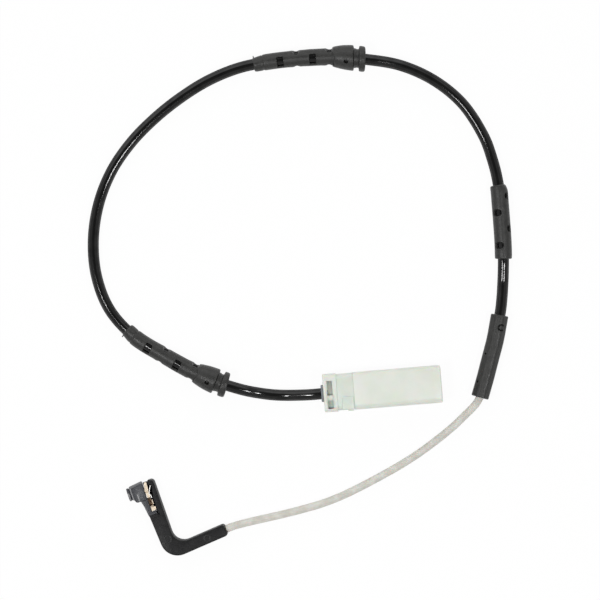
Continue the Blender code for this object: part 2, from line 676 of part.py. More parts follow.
def arm_corners(inset):
    """Corners of the L-shaped arm's outline, its outer side pulled in by the inset, its slot left as it is."""
    right = SLOT_WIDTH + SPINE_WIDTH
    along = Vector((math.cos(TAIL_ANGLE), math.sin(TAIL_ANGLE)))
    across = Vector((-along.y, along.x))
    elbow = Vector((right, -ARM_LENGTH))
    edge = right - inset
    inner = elbow + along * (edge - right) / along.x - across * inset / along.x
    inner.x = edge
    end_top = elbow + along * (TAIL_LENGTH - inset) - across * inset
    end_low = elbow + along * (TAIL_LENGTH - inset) - across * (TAIL_WIDTH - inset)
    outer_x = -ARM_NECK + inset
    outer = end_low - along * (end_low.x - outer_x) / along.x
    shoulder = Vector((-ARM_SHOULDER + inset, -SLOT_FLOOR))
    recess_x = SLOT_WIDTH + TONGUE_RECESS
    return [
        (SLOT_WIDTH, SPINE_TOP - inset, SPINE_SLOT_RADIUS, 3),
        (edge, SPINE_TOP - inset, 0.0014 - inset, 5),
        (inner.x, inner.y, ELBOW_INNER_RADIUS + inset, 8),
        (end_top.x, end_top.y, 0.0012 - inset, 4),
        (end_low.x, end_low.y, 0.0017 - inset, 4),
        (outer.x, outer.y, ELBOW_OUTER_RADIUS - inset, 9),
        (shoulder.x, shoulder.y, 0.0002, 2),
        (SLOT_WIDTH + 0.0002, -SLOT_FLOOR, 0.0002, 2),
        (SLOT_WIDTH + 0.0003, -0.0037, 0.0002, 2),
        (recess_x, 0.0012, 0.0002, 2),
        (SLOT_WIDTH, 0.0017, 0.0002, 2),
    ]


def edge_levels(thickness, edge):
    """Heights through a plate with rounded edges, each with how far its outline is pulled in."""
    angles = [math.radians(angle) for angle in (0, 30, 60, 90)]
    lower = [(edge * (1 - math.cos(angle)), edge * (1 - math.sin(angle))) for angle in angles]
    upper = [(thickness - height, inset) for height, inset in reversed(lower)]
    return lower + upper


def head(grey, materials):
    """The sensor head: arm, sensing block, wire loop, spring clip and the cores inside the arm."""
    frame = bpy.data.objects.new("head_frame", None)
    frame.location = (*HEAD_PLACE, 0)
    frame.rotation_euler = (0, 0, HEAD_ANGLE)
    bpy.context.scene.collection.objects.link(frame)

    rings = []
    for height, inset in edge_levels(ARM_THICKNESS, ARM_EDGE):
        outline = rounded_outline(arm_corners(inset))
        rings.append([Vector((x, y, height)) for x, y in outline])
    arm = loft("arm_body", rings, materials["arm"], frame)
    web = bmesh.new()
    low = (GAP, -SLOT_FLOOR + 2 * GAP + FOOT_HEIGHT, GAP)
    high = (SLOT_WIDTH + TONGUE_RECESS + GAP, WEB_TOP, GAP + WEB_THICKNESS)
    add_box(web, low, high)
    carve(arm, add_mesh("arm_slot_web", web, None, frame), "UNION")

    middle = ARM_THICKNESS / 2
    peg_low = -SLOT_FLOOR - PEG_LENGTH
    pocket = bmesh.new()
    half = PEG_WIDTH / 2 + GAP
    low = (PEG_OFFSET - half, peg_low - GAP, middle - PEG_HEIGHT / 2 - GAP)
    high = (PEG_OFFSET + half, -SLOT_FLOOR + GAP, middle + PEG_HEIGHT / 2 + GAP)
    add_box(pocket, low, high)
    carve(arm, add_mesh("arm_peg_pocket", pocket, None, frame))

    lead_end = frame.matrix_basis.inverted() @ grey.point(grey.length)
    loop_end = peg_low - 2 * GAP
    core_offset = (CORE_DIAMETER + GAP) / 2
    bends = [(PEG_OFFSET - GAP, loop_end - GAP), *HEAD_CORE_BENDS, (lead_end.x - GAP, lead_end.y)]
    core_route = Route([(x, y, middle) for x, y in bends])
    channel_half = CORE_DIAMETER / 2 + GAP
    channel_height = core_offset + CORE_DIAMETER / 2 + GAP
    section = oval(channel_half, channel_height, 12, 3.0)
    reach = 4 * GAP
    places = [-reach, *[core_route.length * part / 10 for part in range(1, 10)], core_route.length + reach]
    channel = [ring(core_route.frame(place), section) for place in places]
    carve(arm, loft("arm_core_channel", channel, None, frame))
    bore = bore_radius(GREY_LEAD_DIAMETER)
    inside = [grey.length + GAP - step * 0.0024 for step in range(6)]
    bore_rings = [ring(grey.frame(place), oval(bore, bore, 16)) for place in inside]
    carve(arm, loft("arm_lead_bore", bore_rings, None))

    for letter, side in PAIR:
        places = [core_route.length * part / 9 for part in range(10)]
        points = [core_route.point(place) + Vector((0, 0, side * core_offset)) for place in places]
        wire("head_core_" + letter, points, CORE_DIAMETER, materials["core_" + letter], frame)

    block = sensing_block(frame, materials["block"], middle, peg_low)
    loop = loop_points(middle, core_offset, loop_end)
    wire("wear_loop", loop, LOOP_WIRE_DIAMETER, materials["copper"], frame)
    tunnel_radius = LOOP_WIRE_DIAMETER / 2 + GAP
    carve(block, loft("block_loop_tunnel", tube_rings(loop, tunnel_radius, 8), None, frame))
    retaining_clip(frame, materials["bronze"])


def loop_points(middle, offset, end):
    """The bare wire's hairpin: up the stem, over into the block and back on the lower level."""
    tip = -(BLOCK_LENGTH + BLOCK_NOSE_LENGTH + NECK_LENGTH)
    stem = -STEM_WIDTH / 2
    peg = PEG_OFFSET - GAP
    plan = [
        (peg, end), (peg, -0.0108), (stem, -0.0086), (stem, -0.0018),
        (stem - 0.0004, -0.0008), (stem - 0.0012, -0.0001), (tip + offset, 0.0002),
    ]
    upper = [Vector((x, y, middle + offset)) for x, y in plan]
    bend = []
    for step in range(1, 6):
        angle = math.pi * step / 6
        x = tip + offset - offset * math.sin(angle)
        bend.append(Vector((x, 0.0002, middle + offset * math.cos(angle))))
    lower = [Vector((x, y, middle - offset)) for x, y in reversed(plan)]
    return upper + bend + lower


def sensing_block(frame, material, middle, peg_low):
    """The premoulded insert: a stepped drum with its worn-away tip, on a stem with a foot and a peg."""
    rise = middle
    step = BLOCK_STEP
    half = BLOCK_WIDTH / 2
    nose = BLOCK_LENGTH + BLOCK_NOSE_LENGTH
    neck = NECK_DIAMETER / 2
    tip = TIP_DIAMETER / 2
    tip_start = nose + NECK_LENGTH
    edge = 0.0001
    stations = [
        (0, half - step / 2, rise - edge, 5.0),
        (step / 2, half, rise, 5.0),
        (BLOCK_LENGTH * 0.64, half, rise, 5.0),
        (BLOCK_LENGTH * 0.64 + edge, half - edge, rise - 2 * edge, 5.0),
        (BLOCK_LENGTH - 2 * edge, half - edge, rise - 2 * edge, 5.0),
        (BLOCK_LENGTH, half - step, rise - 4 * edge, 4.0),
        (nose - edge, half - step - edge, rise - 5 * edge, 4.0),
        (nose, neck, neck, 2.0),
        (tip_start, neck, neck, 2.0),
        (tip_start + edge, tip, tip, 2.0),
        (tip_start + TIP_LENGTH - edge, tip, tip, 2.0),
        (tip_start + TIP_LENGTH, tip - edge, tip - edge, 2.0),
    ]
    rings = []
    for place, half_width, half_height, squareness in stations:
        section = oval(half_width, half_height, 28, squareness)
        rings.append([Vector((-place, y, middle + z)) for y, z in section])
    block = loft("sensing_block", rings, material, frame)

    foot = -SLOT_FLOOR + GAP
    stem_outline = [
        (-STEM_WIDTH, -STEM_TOP), (-STEM_WIDTH, -STEM_TAPER_START), (-ARM_SHOULDER, foot),
        (SLOT_WIDTH - GAP, foot), (SLOT_WIDTH - GAP, foot + FOOT_HEIGHT), (0, foot + FOOT_HEIGHT), (0, -STEM_TOP),
    ]
    stem = bmesh.new()
    add_prism(stem, stem_outline, GAP, ARM_THICKNESS - GAP, Matrix.Identity(4))
    carve(block, add_mesh("block_stem", stem, None, frame), "UNION")
    peg = bmesh.new()
    low = (PEG_OFFSET - PEG_WIDTH / 2, peg_low, middle - PEG_HEIGHT / 2)
    high = (PEG_OFFSET + PEG_WIDTH / 2, foot + FOOT_HEIGHT / 2, middle + PEG_HEIGHT / 2)
    add_box(peg, low, high)
    carve(block, add_mesh("block_peg", peg, None, frame), "UNION")
    return block


def retaining_clip(frame, material):
    """The folded spring clip in the slot: a stepped strip, and a tongue that presses into the spine."""
    top = CLIP_TOP
    low = CLIP_LOW
    centre_line = [
        (0.0029, top - 0.0004), (-0.0026, top), (-0.0031, low), (-0.0066, low), (-0.0071, top), (-0.0084, top),
    ]
    strip = bmesh.new()
    half = CLIP_SHEET / 2
    profile = offset_band(centre_line, half)
    left = GAP
    rings = [[Vector((x, y, z)) for y, z in profile] for x in (left, left + CLIP_WIDTH)]
    loops = skin(strip, rings)
    strip.faces.new(loops[0])
    strip.faces.new(loops[-1])
    clip = add_mesh("retaining_clip", strip, material, frame)
    plan = [
        (left + CLIP_WIDTH / 2, -0.0036), (left + CLIP_WIDTH, -0.0034), (0.0019, -0.0026), (0.0019, -0.0012),
        (0.0022, -0.0002), (0.0028, 0.0007),
    ]
    tongue = bmesh.new()
    band = offset_band(plan, half)
    add_prism(tongue, band, low, low + TONGUE_HEIGHT, Matrix.Identity(4))
    carve(clip, add_mesh("clip_tongue", tongue, None, frame), "UNION")


def offset_band(centre_line, half):
    """The outline of an even sheet, seen edge on, about its centre line."""
    points = [Vector(point) for point in centre_line]
    left = []
    right = []
    for index, point in enumerate(points):
        before = points[max(index - 1, 0)]
        after = points[min(index + 1, len(points) - 1)]
        incoming = (point - before).normalized() if index else (after - point).normalized()
        outgoing = (after - point).normalized() if index < len(points) - 1 else incoming
        along = (incoming + outgoing).normalized()
        normal = Vector((-along.y, along.x)) * half / max(along.dot(incoming), 0.5)
        left.append(point + normal)
        right.append(point - normal)
    return left + right[::-1]


def build():
    for old in list(bpy.data.objects):
        bpy.data.objects.remove(old)
    materials = {
        "arm": principled("arm_black", (0.012, 0.012, 0.013), 0.45),
        "block": principled("block_graphite", (0.035, 0.037, 0.042), 0.40),
        "bronze": principled("clip_bronze", (0.62, 0.42, 0.26), 0.28, 1.0),
        "copper": principled("loop_copper", (0.72, 0.33, 0.18), 0.30, 1.0),
        "core_a": principled("core_brown", (0.10, 0.045, 0.02), 0.45),
        "core_b": principled("core_blue", (0.03, 0.06, 0.16), 0.45),
        "grey": principled("grey_silicone", (0.56, 0.54, 0.49), 0.60),
        "black": principled("black_sheath", (0.006, 0.006, 0.006), 0.18),
        "sleeve": principled("sleeve_rubber", (0.045, 0.045, 0.042), 0.55),
        "crimp": principled("crimp_tin", (0.70, 0.70, 0.68), 0.32, 1.0),
        "plug": principled("plug_nylon", (0.72, 0.74, 0.68), 0.42),
        "carrier": principled("carrier_nylon", (0.64, 0.70, 0.63), 0.42),
        "seal": principled("seal_rubber", (0.20, 0.23, 0.26), 0.50),
        "contact": principled("contact_tin", (0.74, 0.74, 0.72), 0.25, 1.0),
    }
    black = Route(BLACK_ROUTE)
    grey = Route(GREY_ROUTE)
    lead("black_lead", black, BLACK_LEAD_DIAMETER, materials["black"], 3)
    lead("grey_lead", grey, GREY_LEAD_DIAMETER, materials["grey"], 2)
    grommet("lower_grommet", black, LOWER_GROMMET_TAIL_AT, True, LOWER_GROMMET_STRETCH, materials["sleeve"])
    grommet("top_grommet", black, TOP_GROMMET_TAIL_AT, False, 1.0, materials["sleeve"])
    guide_sleeve(black, materials["sleeve"])
    splice(materials)
    plug(materials)
    head(grey, materials)


build()
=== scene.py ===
# %% [markdown]
# # A brake pad wear sensor, dressed for its photograph
# This small assembly sits beside a brake pad. A moulded head is ground away by the brake disc until a
# hidden wire breaks, and two leads carry that news through rubber grommets to a milky plug.
# The lesson starts from the packed model, which fixes every size and place in metres, and gives each
# piece its fine shape and its finish. Round moulded parts suit a spun profile, flat ones an extruded
# outline, and folded metal a strip that gets its thickness last.

# %% Load the packed model
import json
import math

import bmesh
import bpy
from mathutils import Matrix, Vector


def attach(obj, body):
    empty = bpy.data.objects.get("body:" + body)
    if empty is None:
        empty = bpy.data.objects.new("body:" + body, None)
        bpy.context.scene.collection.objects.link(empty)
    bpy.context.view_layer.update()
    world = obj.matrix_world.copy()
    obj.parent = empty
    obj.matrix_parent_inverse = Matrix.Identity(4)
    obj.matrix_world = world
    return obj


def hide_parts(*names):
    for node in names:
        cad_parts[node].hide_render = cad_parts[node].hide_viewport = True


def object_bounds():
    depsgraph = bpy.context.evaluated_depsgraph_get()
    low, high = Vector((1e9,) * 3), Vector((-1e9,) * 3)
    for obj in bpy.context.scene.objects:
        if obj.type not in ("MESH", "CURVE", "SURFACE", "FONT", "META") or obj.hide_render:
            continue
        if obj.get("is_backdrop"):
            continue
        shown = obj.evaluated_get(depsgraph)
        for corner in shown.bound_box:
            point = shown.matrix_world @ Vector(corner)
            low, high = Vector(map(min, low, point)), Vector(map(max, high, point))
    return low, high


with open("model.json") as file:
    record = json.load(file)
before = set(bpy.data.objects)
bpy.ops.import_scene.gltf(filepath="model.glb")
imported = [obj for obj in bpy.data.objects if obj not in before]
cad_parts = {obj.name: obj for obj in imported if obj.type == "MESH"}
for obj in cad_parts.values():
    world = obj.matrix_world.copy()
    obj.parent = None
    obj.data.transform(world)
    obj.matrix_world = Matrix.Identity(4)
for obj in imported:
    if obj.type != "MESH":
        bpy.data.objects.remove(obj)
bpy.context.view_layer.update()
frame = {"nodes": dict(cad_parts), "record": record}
nodes = frame["nodes"]

# %% [markdown]
# ## Floor, camera and light
# The photograph looks straight down at the sensor on a white sheet. A long lens far away keeps the
# proportions even, so the camera stands almost two metres up.
# The floor is white to the camera, yet a part of it stays a real matt surface, which is how it can still
# hold the soft shadow under the leads.
# The room is a light tent that is dim overhead, where the camera looks in, and brighter all round. That
# gives every round surface two grey bands and a dark middle. Two narrow strip lamps add the thin white
# lines on the glossy lead, and a wide panel lifts the bands on the far side.

# %% Camera above the middle of the photograph
VIEW_WIDTH = 0.231
VIEW_CENTRE = Vector((0.0473, 0.0835, 0.003))
LENS = 300.0

camera_data = bpy.data.cameras.new("photo_camera")
camera_data.lens = LENS
camera_data.sensor_width = 36.0
camera = bpy.data.objects.new("photo_camera", camera_data)
camera.location = VIEW_CENTRE + Vector((0, 0, VIEW_WIDTH * LENS / camera_data.sensor_width))
bpy.context.scene.collection.objects.link(camera)
bpy.context.scene.camera = camera
bpy.context.scene.view_settings.view_transform = "Standard"
print("camera height in m:", round(camera.location.z, 3))

# %% [markdown]
# Node trees read better as sums. `Wired` wraps one socket, and Python's own operators on it add the
# Math nodes. Its `node` method adds any other node: settings first, then values or links.

# %% Shader maths in plain expressions
MIX_LOW = 6  # the Mix node's two colour inputs and its colour output, by their place in its lists
MIX_HIGH = 7
MIX_RESULT = 2
FINISHES = {}


class Wired:
    """A number or colour that runs through a node tree."""

    def __init__(self, tree, socket):
        self.tree = tree
        self.socket = socket

    def node(self, kind, settings, inputs, output=0):
        """Adds a node with its settings and the values or links of its sockets."""
        made = self.tree.nodes.new(kind)
        for name, value in settings.items():
            setattr(made, name, value)
        for name, value in inputs.items():
            if isinstance(value, Wired):
                self.tree.links.new(value.socket, made.inputs[name])
            else:
                made.inputs[name].default_value = value
        return Wired(self.tree, made.outputs[output])

    def maths(self, operation, first, second=0.0):
        """A Math node on two values."""
        return self.node("ShaderNodeMath", {"operation": operation}, {0: first, 1: second})

    def __add__(self, other):
        return self.maths("ADD", self, other)

    def __sub__(self, other):
        return self.maths("SUBTRACT", self, other)

    def __rsub__(self, other):
        return self.maths("SUBTRACT", other, self)

    def __mul__(self, other):
        return self.maths("MULTIPLY", self, other)

    def between(self, low, high):
        """0 below the first value, 1 above the second and a soft step from one to the other."""
        return self.node(
            "ShaderNodeMapRange", {"interpolation_type": "SMOOTHSTEP"},
            {"Value": self, "From Min": low, "From Max": high},
        )

    def within(self, low, high, soft):
        """1 between two values, with a soft step down to 0 at each of them."""
        return self.between(low, low + soft) * (1.0 - self.between(high - soft, high))

    def blend(self, low, high):
        """Mixes two colours by this number."""
        inputs = {"Factor": self, MIX_LOW: low, MIX_HIGH: high}
        return self.node("ShaderNodeMix", {"data_type": "RGBA"}, inputs, output=MIX_RESULT)

    def noise(self, scale, detail=3.0):
        """A cloudy number from 0 to 1 at this place, its scale in spots per metre."""
        return self.node("ShaderNodeTexNoise", {}, {"Vector": self, "Scale": scale, "Detail": detail})

    def axis(self, name):
        """X, Y or Z of this place."""
        return self.node("ShaderNodeSeparateXYZ", {}, {"Vector": self}, output=name)

    def stretched(self, x, y, z):
        """This place with its axes multiplied, which stretches a pattern."""
        return self.node("ShaderNodeVectorMath", {"operation": "MULTIPLY"}, {0: self, 1: (x, y, z)})

    def away_from(self, centre):
        """Distance over the floor plane from a point, in metres."""
        inputs = {0: self.stretched(1.0, 1.0, 0.0), 1: centre}
        return self.node("ShaderNodeVectorMath", {"operation": "DISTANCE"}, inputs, output="Value")


class Finish:
    """One material: constants on the shader's sockets, and patterns wired in by name."""

    def __init__(self, name, constants):
        self.material = bpy.data.materials.new(name)
        self.material.use_nodes = True
        self.tree = self.material.node_tree
        self.shader = self.tree.nodes["Principled BSDF"]
        for socket, value in constants.items():
            self.shader.inputs[socket].default_value = value
        start = Wired(self.tree, None)
        self.place = start.node("ShaderNodeTexCoord", {}, {}, output="Object")
        FINISHES[name] = self

    def wire(self, socket, value):
        """Links a wired value to a socket of the shader."""
        self.tree.links.new(value.socket, self.shader.inputs[socket])

    def bump(self, height, distance):
        """Lets a height in 0 to 1 lean the surface, its full depth in metres."""
        inputs = {"Height": height, "Distance": distance, "Strength": 1.0}
        self.wire("Normal", height.node("ShaderNodeBump", {}, inputs))


print("methods:", [name for name in vars(Wired) if not name.startswith("_")])

# %% White floor that still holds a shadow
FLOOR_GLOW = 0.95
FLOOR_IN_GLOSS = 0.45

floor_mesh = bmesh.new()
bmesh.ops.create_grid(floor_mesh, x_segments=1, y_segments=1, size=1.5)
floor_data = bpy.data.meshes.new("floor")
floor_mesh.to_mesh(floor_data)
floor_mesh.free()
floor = bpy.data.objects.new("floor", floor_data)
floor.location = (VIEW_CENTRE.x, VIEW_CENTRE.y, -0.0001)
bpy.context.scene.collection.objects.link(floor)

paper = Finish("white_paper", {"Roughness": 0.9, "Specular IOR Level": 0.0})
paper.shader.inputs["Base Color"].default_value = (0.97, 0.97, 0.97, 1.0)
camera_ray, glossy_ray, transmission_ray = (
    paper.place.node("ShaderNodeLightPath", {}, {}, output=f"Is {kind} Ray")
    for kind in ("Camera", "Glossy", "Transmission")
)
seen = camera_ray * FLOOR_GLOW + (glossy_ray + transmission_ray) * FLOOR_IN_GLOSS
glow = paper.place.node("ShaderNodeEmission", {}, {"Color": (1.0, 1.0, 1.0, 1.0), "Strength": 1.0})
matt = Wired(paper.tree, paper.shader.outputs[0])
sheet = paper.place.node("ShaderNodeMixShader", {}, {0: seen, 1: matt, 2: glow})
paper.tree.links.new(sheet.socket, paper.tree.nodes["Material Output"].inputs["Surface"])
floor_data.materials.append(paper.material)
floor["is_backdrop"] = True
print("floor:", tuple(round(side, 2) for side in floor.dimensions))

# %% Light tent, strip lamps and the wide panel
TENT_OVERHEAD = 0.12
TENT_ROUND = 0.50

world = bpy.data.worlds.new("light_tent")
world.use_nodes = True
tent = Wired(world.node_tree, None)
direction = tent.node("ShaderNodeNewGeometry", {}, {}, output="Position")
strength = TENT_ROUND - direction.axis("Z").between(0.80, 0.93) * (TENT_ROUND - TENT_OVERHEAD)
world.node_tree.links.new(strength.socket, world.node_tree.nodes["Background"].inputs["Strength"])
world.node_tree.nodes["Background"].inputs["Color"].default_value = (1.0, 1.0, 1.0, 1.0)
bpy.context.scene.world = world


def lamp(name, compass, tilt, distance, width, height, watts):
    """An area lamp aimed at the sensor: compass from +X anticlockwise, tilt from straight up, in degrees."""
    data = bpy.data.lights.new(name, "AREA")
    data.shape = "RECTANGLE"
    data.size = width
    data.size_y = height
    data.energy = watts
    around = math.radians(compass)
    lean = math.radians(tilt)
    away = Vector((math.sin(lean) * math.cos(around), math.sin(lean) * math.sin(around), math.cos(lean)))
    shape = bpy.data.objects.new(name, data)
    shape.location = VIEW_CENTRE + away * distance
    shape.rotation_euler = away.to_track_quat("Z", "Y").to_euler()
    bpy.context.scene.collection.objects.link(shape)


lamp("strip_front_left", 209, 25, 1.3, 0.26, 0.13, 4.6)
lamp("strip_front_right", 330, 25, 1.3, 0.18, 0.13, 4.0)
lamp("panel_behind", 105, 58, 1.5, 2.6, 1.2, 8.0)
print("lamps:", [light.name for light in bpy.data.lights])

# %% [markdown]
# ## The leads' routes
# A lead lies on the floor in one easy curve, rises a little where a thicker sleeve or the plug lifts it,
# and never bends tighter than its sheath allows. A few dozen listed points carry that, joined by a
# curve that passes through every one of them and is measured along its length.

# %% Routes through listed points
BLACK_LEAD_DIAMETER = 0.0043
GREY_LEAD_DIAMETER = 0.0030
STEPS_PER_POINT = 16
TENTHS_PER_METRE = 10000  # the routes' points are in tenths of a millimetre

BLACK_ROUTE = [
    (637, 482, 55), (559, 475, 55), (516, 471, 50), (473, 469, 40), (420, 468, 27), (368, 470, 23),
    (314, 477, 29), (262, 487, 42), (208, 502, 50), (157, 519, 51), (52, 565, 47), (-54, 624, 41),
    (-168, 696, 34), (-261, 799, 23), (-311, 928, 22), (-323, 1066, 22), (-303, 1203, 22), (-253, 1331, 22),
    (-177, 1442, 22), (-86, 1535, 22), (13, 1614, 22), (119, 1680, 22), (233, 1727, 28), (352, 1752, 36),
    (473, 1765, 42), (598, 1770, 47), (721, 1761, 51), (860, 1738, 34), (989, 1681, 22), (1098, 1592, 22),
    (1177, 1473, 22), (1215, 1372, 25), (1236, 1282, 33), (1244, 1202, 34), (1254, 1066, 34),
    (1256, 982, 33), (1254, 895, 23), (1247, 808, 33), (1233, 728, 35), (1224, 680, 35),
]

SPLICE_ROUTE = [
    (1243, 785, 35), (1233, 728, 35), (1224, 680, 35), (1212, 634, 35), (1200, 588, 35), (1188, 541, 35),
    (1175, 495, 35), (1165, 460, 35),
]

GREY_ROUTE = [
    (1190, 550, 35), (1178, 505, 35), (1166, 463, 35), (1147, 431, 32), (1111, 394, 24), (1066, 350, 17),
    (1003, 298, 16), (934, 247, 16), (863, 201, 16), (789, 159, 16), (714, 119, 16), (638, 82, 16),
    (559, 51, 16), (476, 27, 16), (392, 6, 16), (320, -10, 20), (263, -23, 27), (222, -34, 30),
    (190, -46, 30), (153, -63, 30), (117, -79, 30),
]


class Route:
    """A smooth curve through given points, measured along its length."""

    def __init__(self, points):
        knots = [Vector([value / TENTHS_PER_METRE for value in point]) for point in points]
        knots = [2 * knots[0] - knots[1], *knots, 2 * knots[-1] - knots[-2]]
        self.points = []
        for before, start, end, after in zip(knots, knots[1:], knots[2:], knots[3:]):
            for step in range(STEPS_PER_POINT):
                t = step / STEPS_PER_POINT
                bend = 2 * before - 5 * start + 4 * end - after
                twist = 3 * start - before - 3 * end + after
                self.points.append(start + 0.5 * t * (end - before + t * (bend + t * twist)))
        self.points.append(knots[-2])
        self.distances = [0.0]
        for start, end in zip(self.points, self.points[1:]):
            self.distances.append(self.distances[-1] + (end - start).length)
        self.length = self.distances[-1]

    def point(self, distance):
        """The place at a distance along the curve, on its end tangent past either end."""
        place = 0
        while place < len(self.points) - 2 and self.distances[place + 1] < distance:
            place += 1
        span = self.distances[place + 1] - self.distances[place]
        return self.points[place].lerp(self.points[place + 1], (distance - self.distances[place]) / span)

    def frame(self, distance, backward=False, roll=0.0):
        """Axes there: X along the curve, Y to its left and Z up, turned about X by the roll."""
        reach = 0.0008
        along = self.point(distance + reach) - self.point(distance - reach)
        along.normalize()
        if backward:
            along.negate()
        left = Vector((0, 0, 1)).cross(along).normalized()
        turn = Matrix((along, left, along.cross(left))).transposed().to_4x4()
        return Matrix.Translation(self.point(distance)) @ turn @ Matrix.Rotation(roll, 4, "X")


black_route = Route(BLACK_ROUTE)
grey_route = Route(GREY_ROUTE)
splice_route = Route(SPLICE_ROUTE)
for route in (black_route, grey_route, splice_route):
    print("route length in mm:", round(1000 * route.length, 1))

# %% [markdown]
# ## Finishes
# Every surface here is moulded, extruded or rolled, so none has a grain of its own kind as wood has.
# What makes each one real is slight: a mottled base colour, gloss that comes and goes, and a bump too
# fine to see as a shape. One scale in spots per metre sets how large each of these is.

# %% Rubber of the sleeves and the splice


def mottled(finish, dark, light, scale, rough_low, rough_high):
    """Clouds a base colour between two tones and lets the roughness follow another cloud."""
    tint = finish.place.noise(scale).between(0.35, 0.65).blend((*dark, 1.0), (*light, 1.0))
    finish.wire("Base Color", tint)
    sheen = finish.place.noise(scale * 2.3).between(0.3, 0.7)
    finish.wire("Roughness", sheen * (rough_high - rough_low) + rough_low)
    return tint


def clouded(name, constants, dark, light, scale, rough, grain, depth):
    """A finish that is mottled and has one bump: its noise's scale and detail, and its depth."""
    made = Finish(name, constants)
    mottled(made, dark, light, scale, *rough)
    made.bump(made.place.noise(*grain), depth)


sleeve_rubber = Finish("sleeve_rubber", {"IOR": 1.5})
mottled(sleeve_rubber, (0.019, 0.019, 0.018), (0.026, 0.026, 0.0245), 450.0, 0.36, 0.50)
sleeve_rubber.bump(sleeve_rubber.place.noise(3500.0, 4.0) + sleeve_rubber.place.noise(700.0) * 2.0, 0.00004)
print("finishes so far:", list(FINISHES))

# %% [markdown]
# The black sheath is drawn smooth, so its gloss is a clear coat over a nearly black base. Seen edge on, a
# round lead should stay dark against white paper, so the coat thins out towards the rims.

# %% Sheath, silicone and seal
black_sheath = Finish("black_sheath", {"Specular IOR Level": 0.0, "Coat IOR": 1.5, "Coat Roughness": 0.12})
mottled(black_sheath, (0.0035, 0.0035, 0.0035), (0.006, 0.006, 0.0058), 300.0, 0.3, 0.5)
edge_on = black_sheath.place.node("ShaderNodeLayerWeight", {}, {"Blend": 0.5}, output="Facing")
handled = black_sheath.place.noise(260.0, 2.0).between(0.25, 0.6) * 0.3 + 0.7
black_sheath.wire("Coat Weight", (1.0 - edge_on.between(0.35, 0.85) * 0.92) * handled)
ripple = black_sheath.place.noise(1800.0, 2.0)
black_sheath.bump(black_sheath.place.noise(420.0, 2.0) + ripple * 0.25, 0.00005)

clouded(
    "grey_silicone", {"IOR": 1.42, "Subsurface Weight": 0.12, "Subsurface Scale": 0.0006},
    (0.59, 0.575, 0.52), (0.67, 0.665, 0.615), 300.0, (0.50, 0.64), (2600.0, 4.0), 0.00003,
)
clouded(
    "seal_rubber", {"IOR": 1.45},
    (0.20, 0.225, 0.25), (0.26, 0.29, 0.32), 700.0, (0.40, 0.52), (2600.0,), 0.00003,
)
print("finishes so far:", list(FINISHES))

# %% [markdown]
# Natural nylon is milky: light goes a little way in and comes out again, so edges never turn quite dark.
# A weak subsurface share gives that, and a faint greener cloud keeps the large plain sides alive.

# %% Milky nylon of the plug
MILKY = {"IOR": 1.5, "Subsurface Weight": 0.35, "Subsurface Scale": 0.0015}

for name, dark, light, scale in (
    ("plug_nylon", (0.72, 0.76, 0.68), (0.765, 0.785, 0.73), 90.0),
    ("carrier_nylon", (0.68, 0.725, 0.65), (0.73, 0.765, 0.70), 160.0),
):
    clouded(name, MILKY, dark, light, scale, (0.34, 0.46), (1800.0, 4.0), 0.00003)
print("finishes so far:", list(FINISHES))

# %% [markdown]
# The head's overmould is black nylon with a fine eroded grain. Ejector pins leave two faint rings on
# its flat side. A ring is the set of points at one distance from a centre, so two soft steps on that
# distance draw it, and the same mask lowers the bump a little.
# The insert is greyer, with three thin lines of painted highlight on its upper half. They are straight in the
# head's own axes, so a
# Mapping node first turns the place into those.

# %% Black and graphite plastics of the head
HEAD_PLACE = Vector((-0.0127, 0.0102, 0.0))
HEAD_ANGLE = math.radians(19.3)
head_frame = Matrix.Translation(HEAD_PLACE) @ Matrix.Rotation(HEAD_ANGLE, 4, "Z")
PIN_MARKS = [((0.00235, -0.02065), 0.00135), ((0.01685, -0.02528), 0.00115)]  # centre and radius
# three thin pale lines of painted highlight on the insert
PAINTED_HIGHLIGHT_LINES = [  # x, low y and high y
    (-0.0049, -0.0024, 0.0026), (-0.0060, -0.0022, 0.0010), (-0.0029, -0.0035, -0.0004),
]
LINE_EDGE = 0.0003

arm_black = Finish("arm_black", {"IOR": 1.5, "Specular IOR Level": 0.2})
rings = 0.0
for (x, y), radius in PIN_MARKS:
    distance = arm_black.place.away_from(head_frame @ Vector((x, y, 0)))
    rings = distance.within(radius - LINE_EDGE, radius + LINE_EDGE, LINE_EDGE) + rings
grain = arm_black.place.noise(3200.0, 4.0)
tone = arm_black.place.noise(350.0).between(0.3, 0.7)
tone = tone.blend((0.009, 0.009, 0.0095, 1.0), (0.014, 0.014, 0.0145, 1.0))
arm_black.wire("Base Color", (rings * 0.8).blend(tone, (0.035, 0.035, 0.036, 1.0)))
arm_black.wire("Roughness", arm_black.place.noise(700.0).between(0.3, 0.7) * 0.12 + 0.34)
arm_black.bump(grain - rings * 1.5, 0.00003)

block_graphite = Finish("block_graphite", {"IOR": 1.5})
graphite = mottled(block_graphite, (0.034, 0.036, 0.043), (0.048, 0.050, 0.057), 600.0, 0.34, 0.46)
straight = block_graphite.place.node("ShaderNodeMapping", {"vector_type": "TEXTURE"}, {
    "Vector": block_graphite.place, "Location": HEAD_PLACE, "Rotation": (0.0, 0.0, HEAD_ANGLE),
})
# painted highlight: pale lines, kept to the upper half of the insert
painted_highlight = 0.0
for x, low, high in PAINTED_HIGHLIGHT_LINES:
    line = straight.axis("X").within(x - LINE_EDGE, x + LINE_EDGE, LINE_EDGE)
    painted_highlight = line * straight.axis("Y").within(low, high, LINE_EDGE) + painted_highlight
painted_highlight = painted_highlight * straight.axis("Z").between(0.0030, 0.0036)
block_graphite.wire("Base Color", (painted_highlight * 0.8).blend(graphite, (0.42, 0.42, 0.42, 1.0)))
block_graphite.bump(block_graphite.place.noise(3000.0, 4.0), 0.00004)
print("finishes so far:", list(FINISHES))
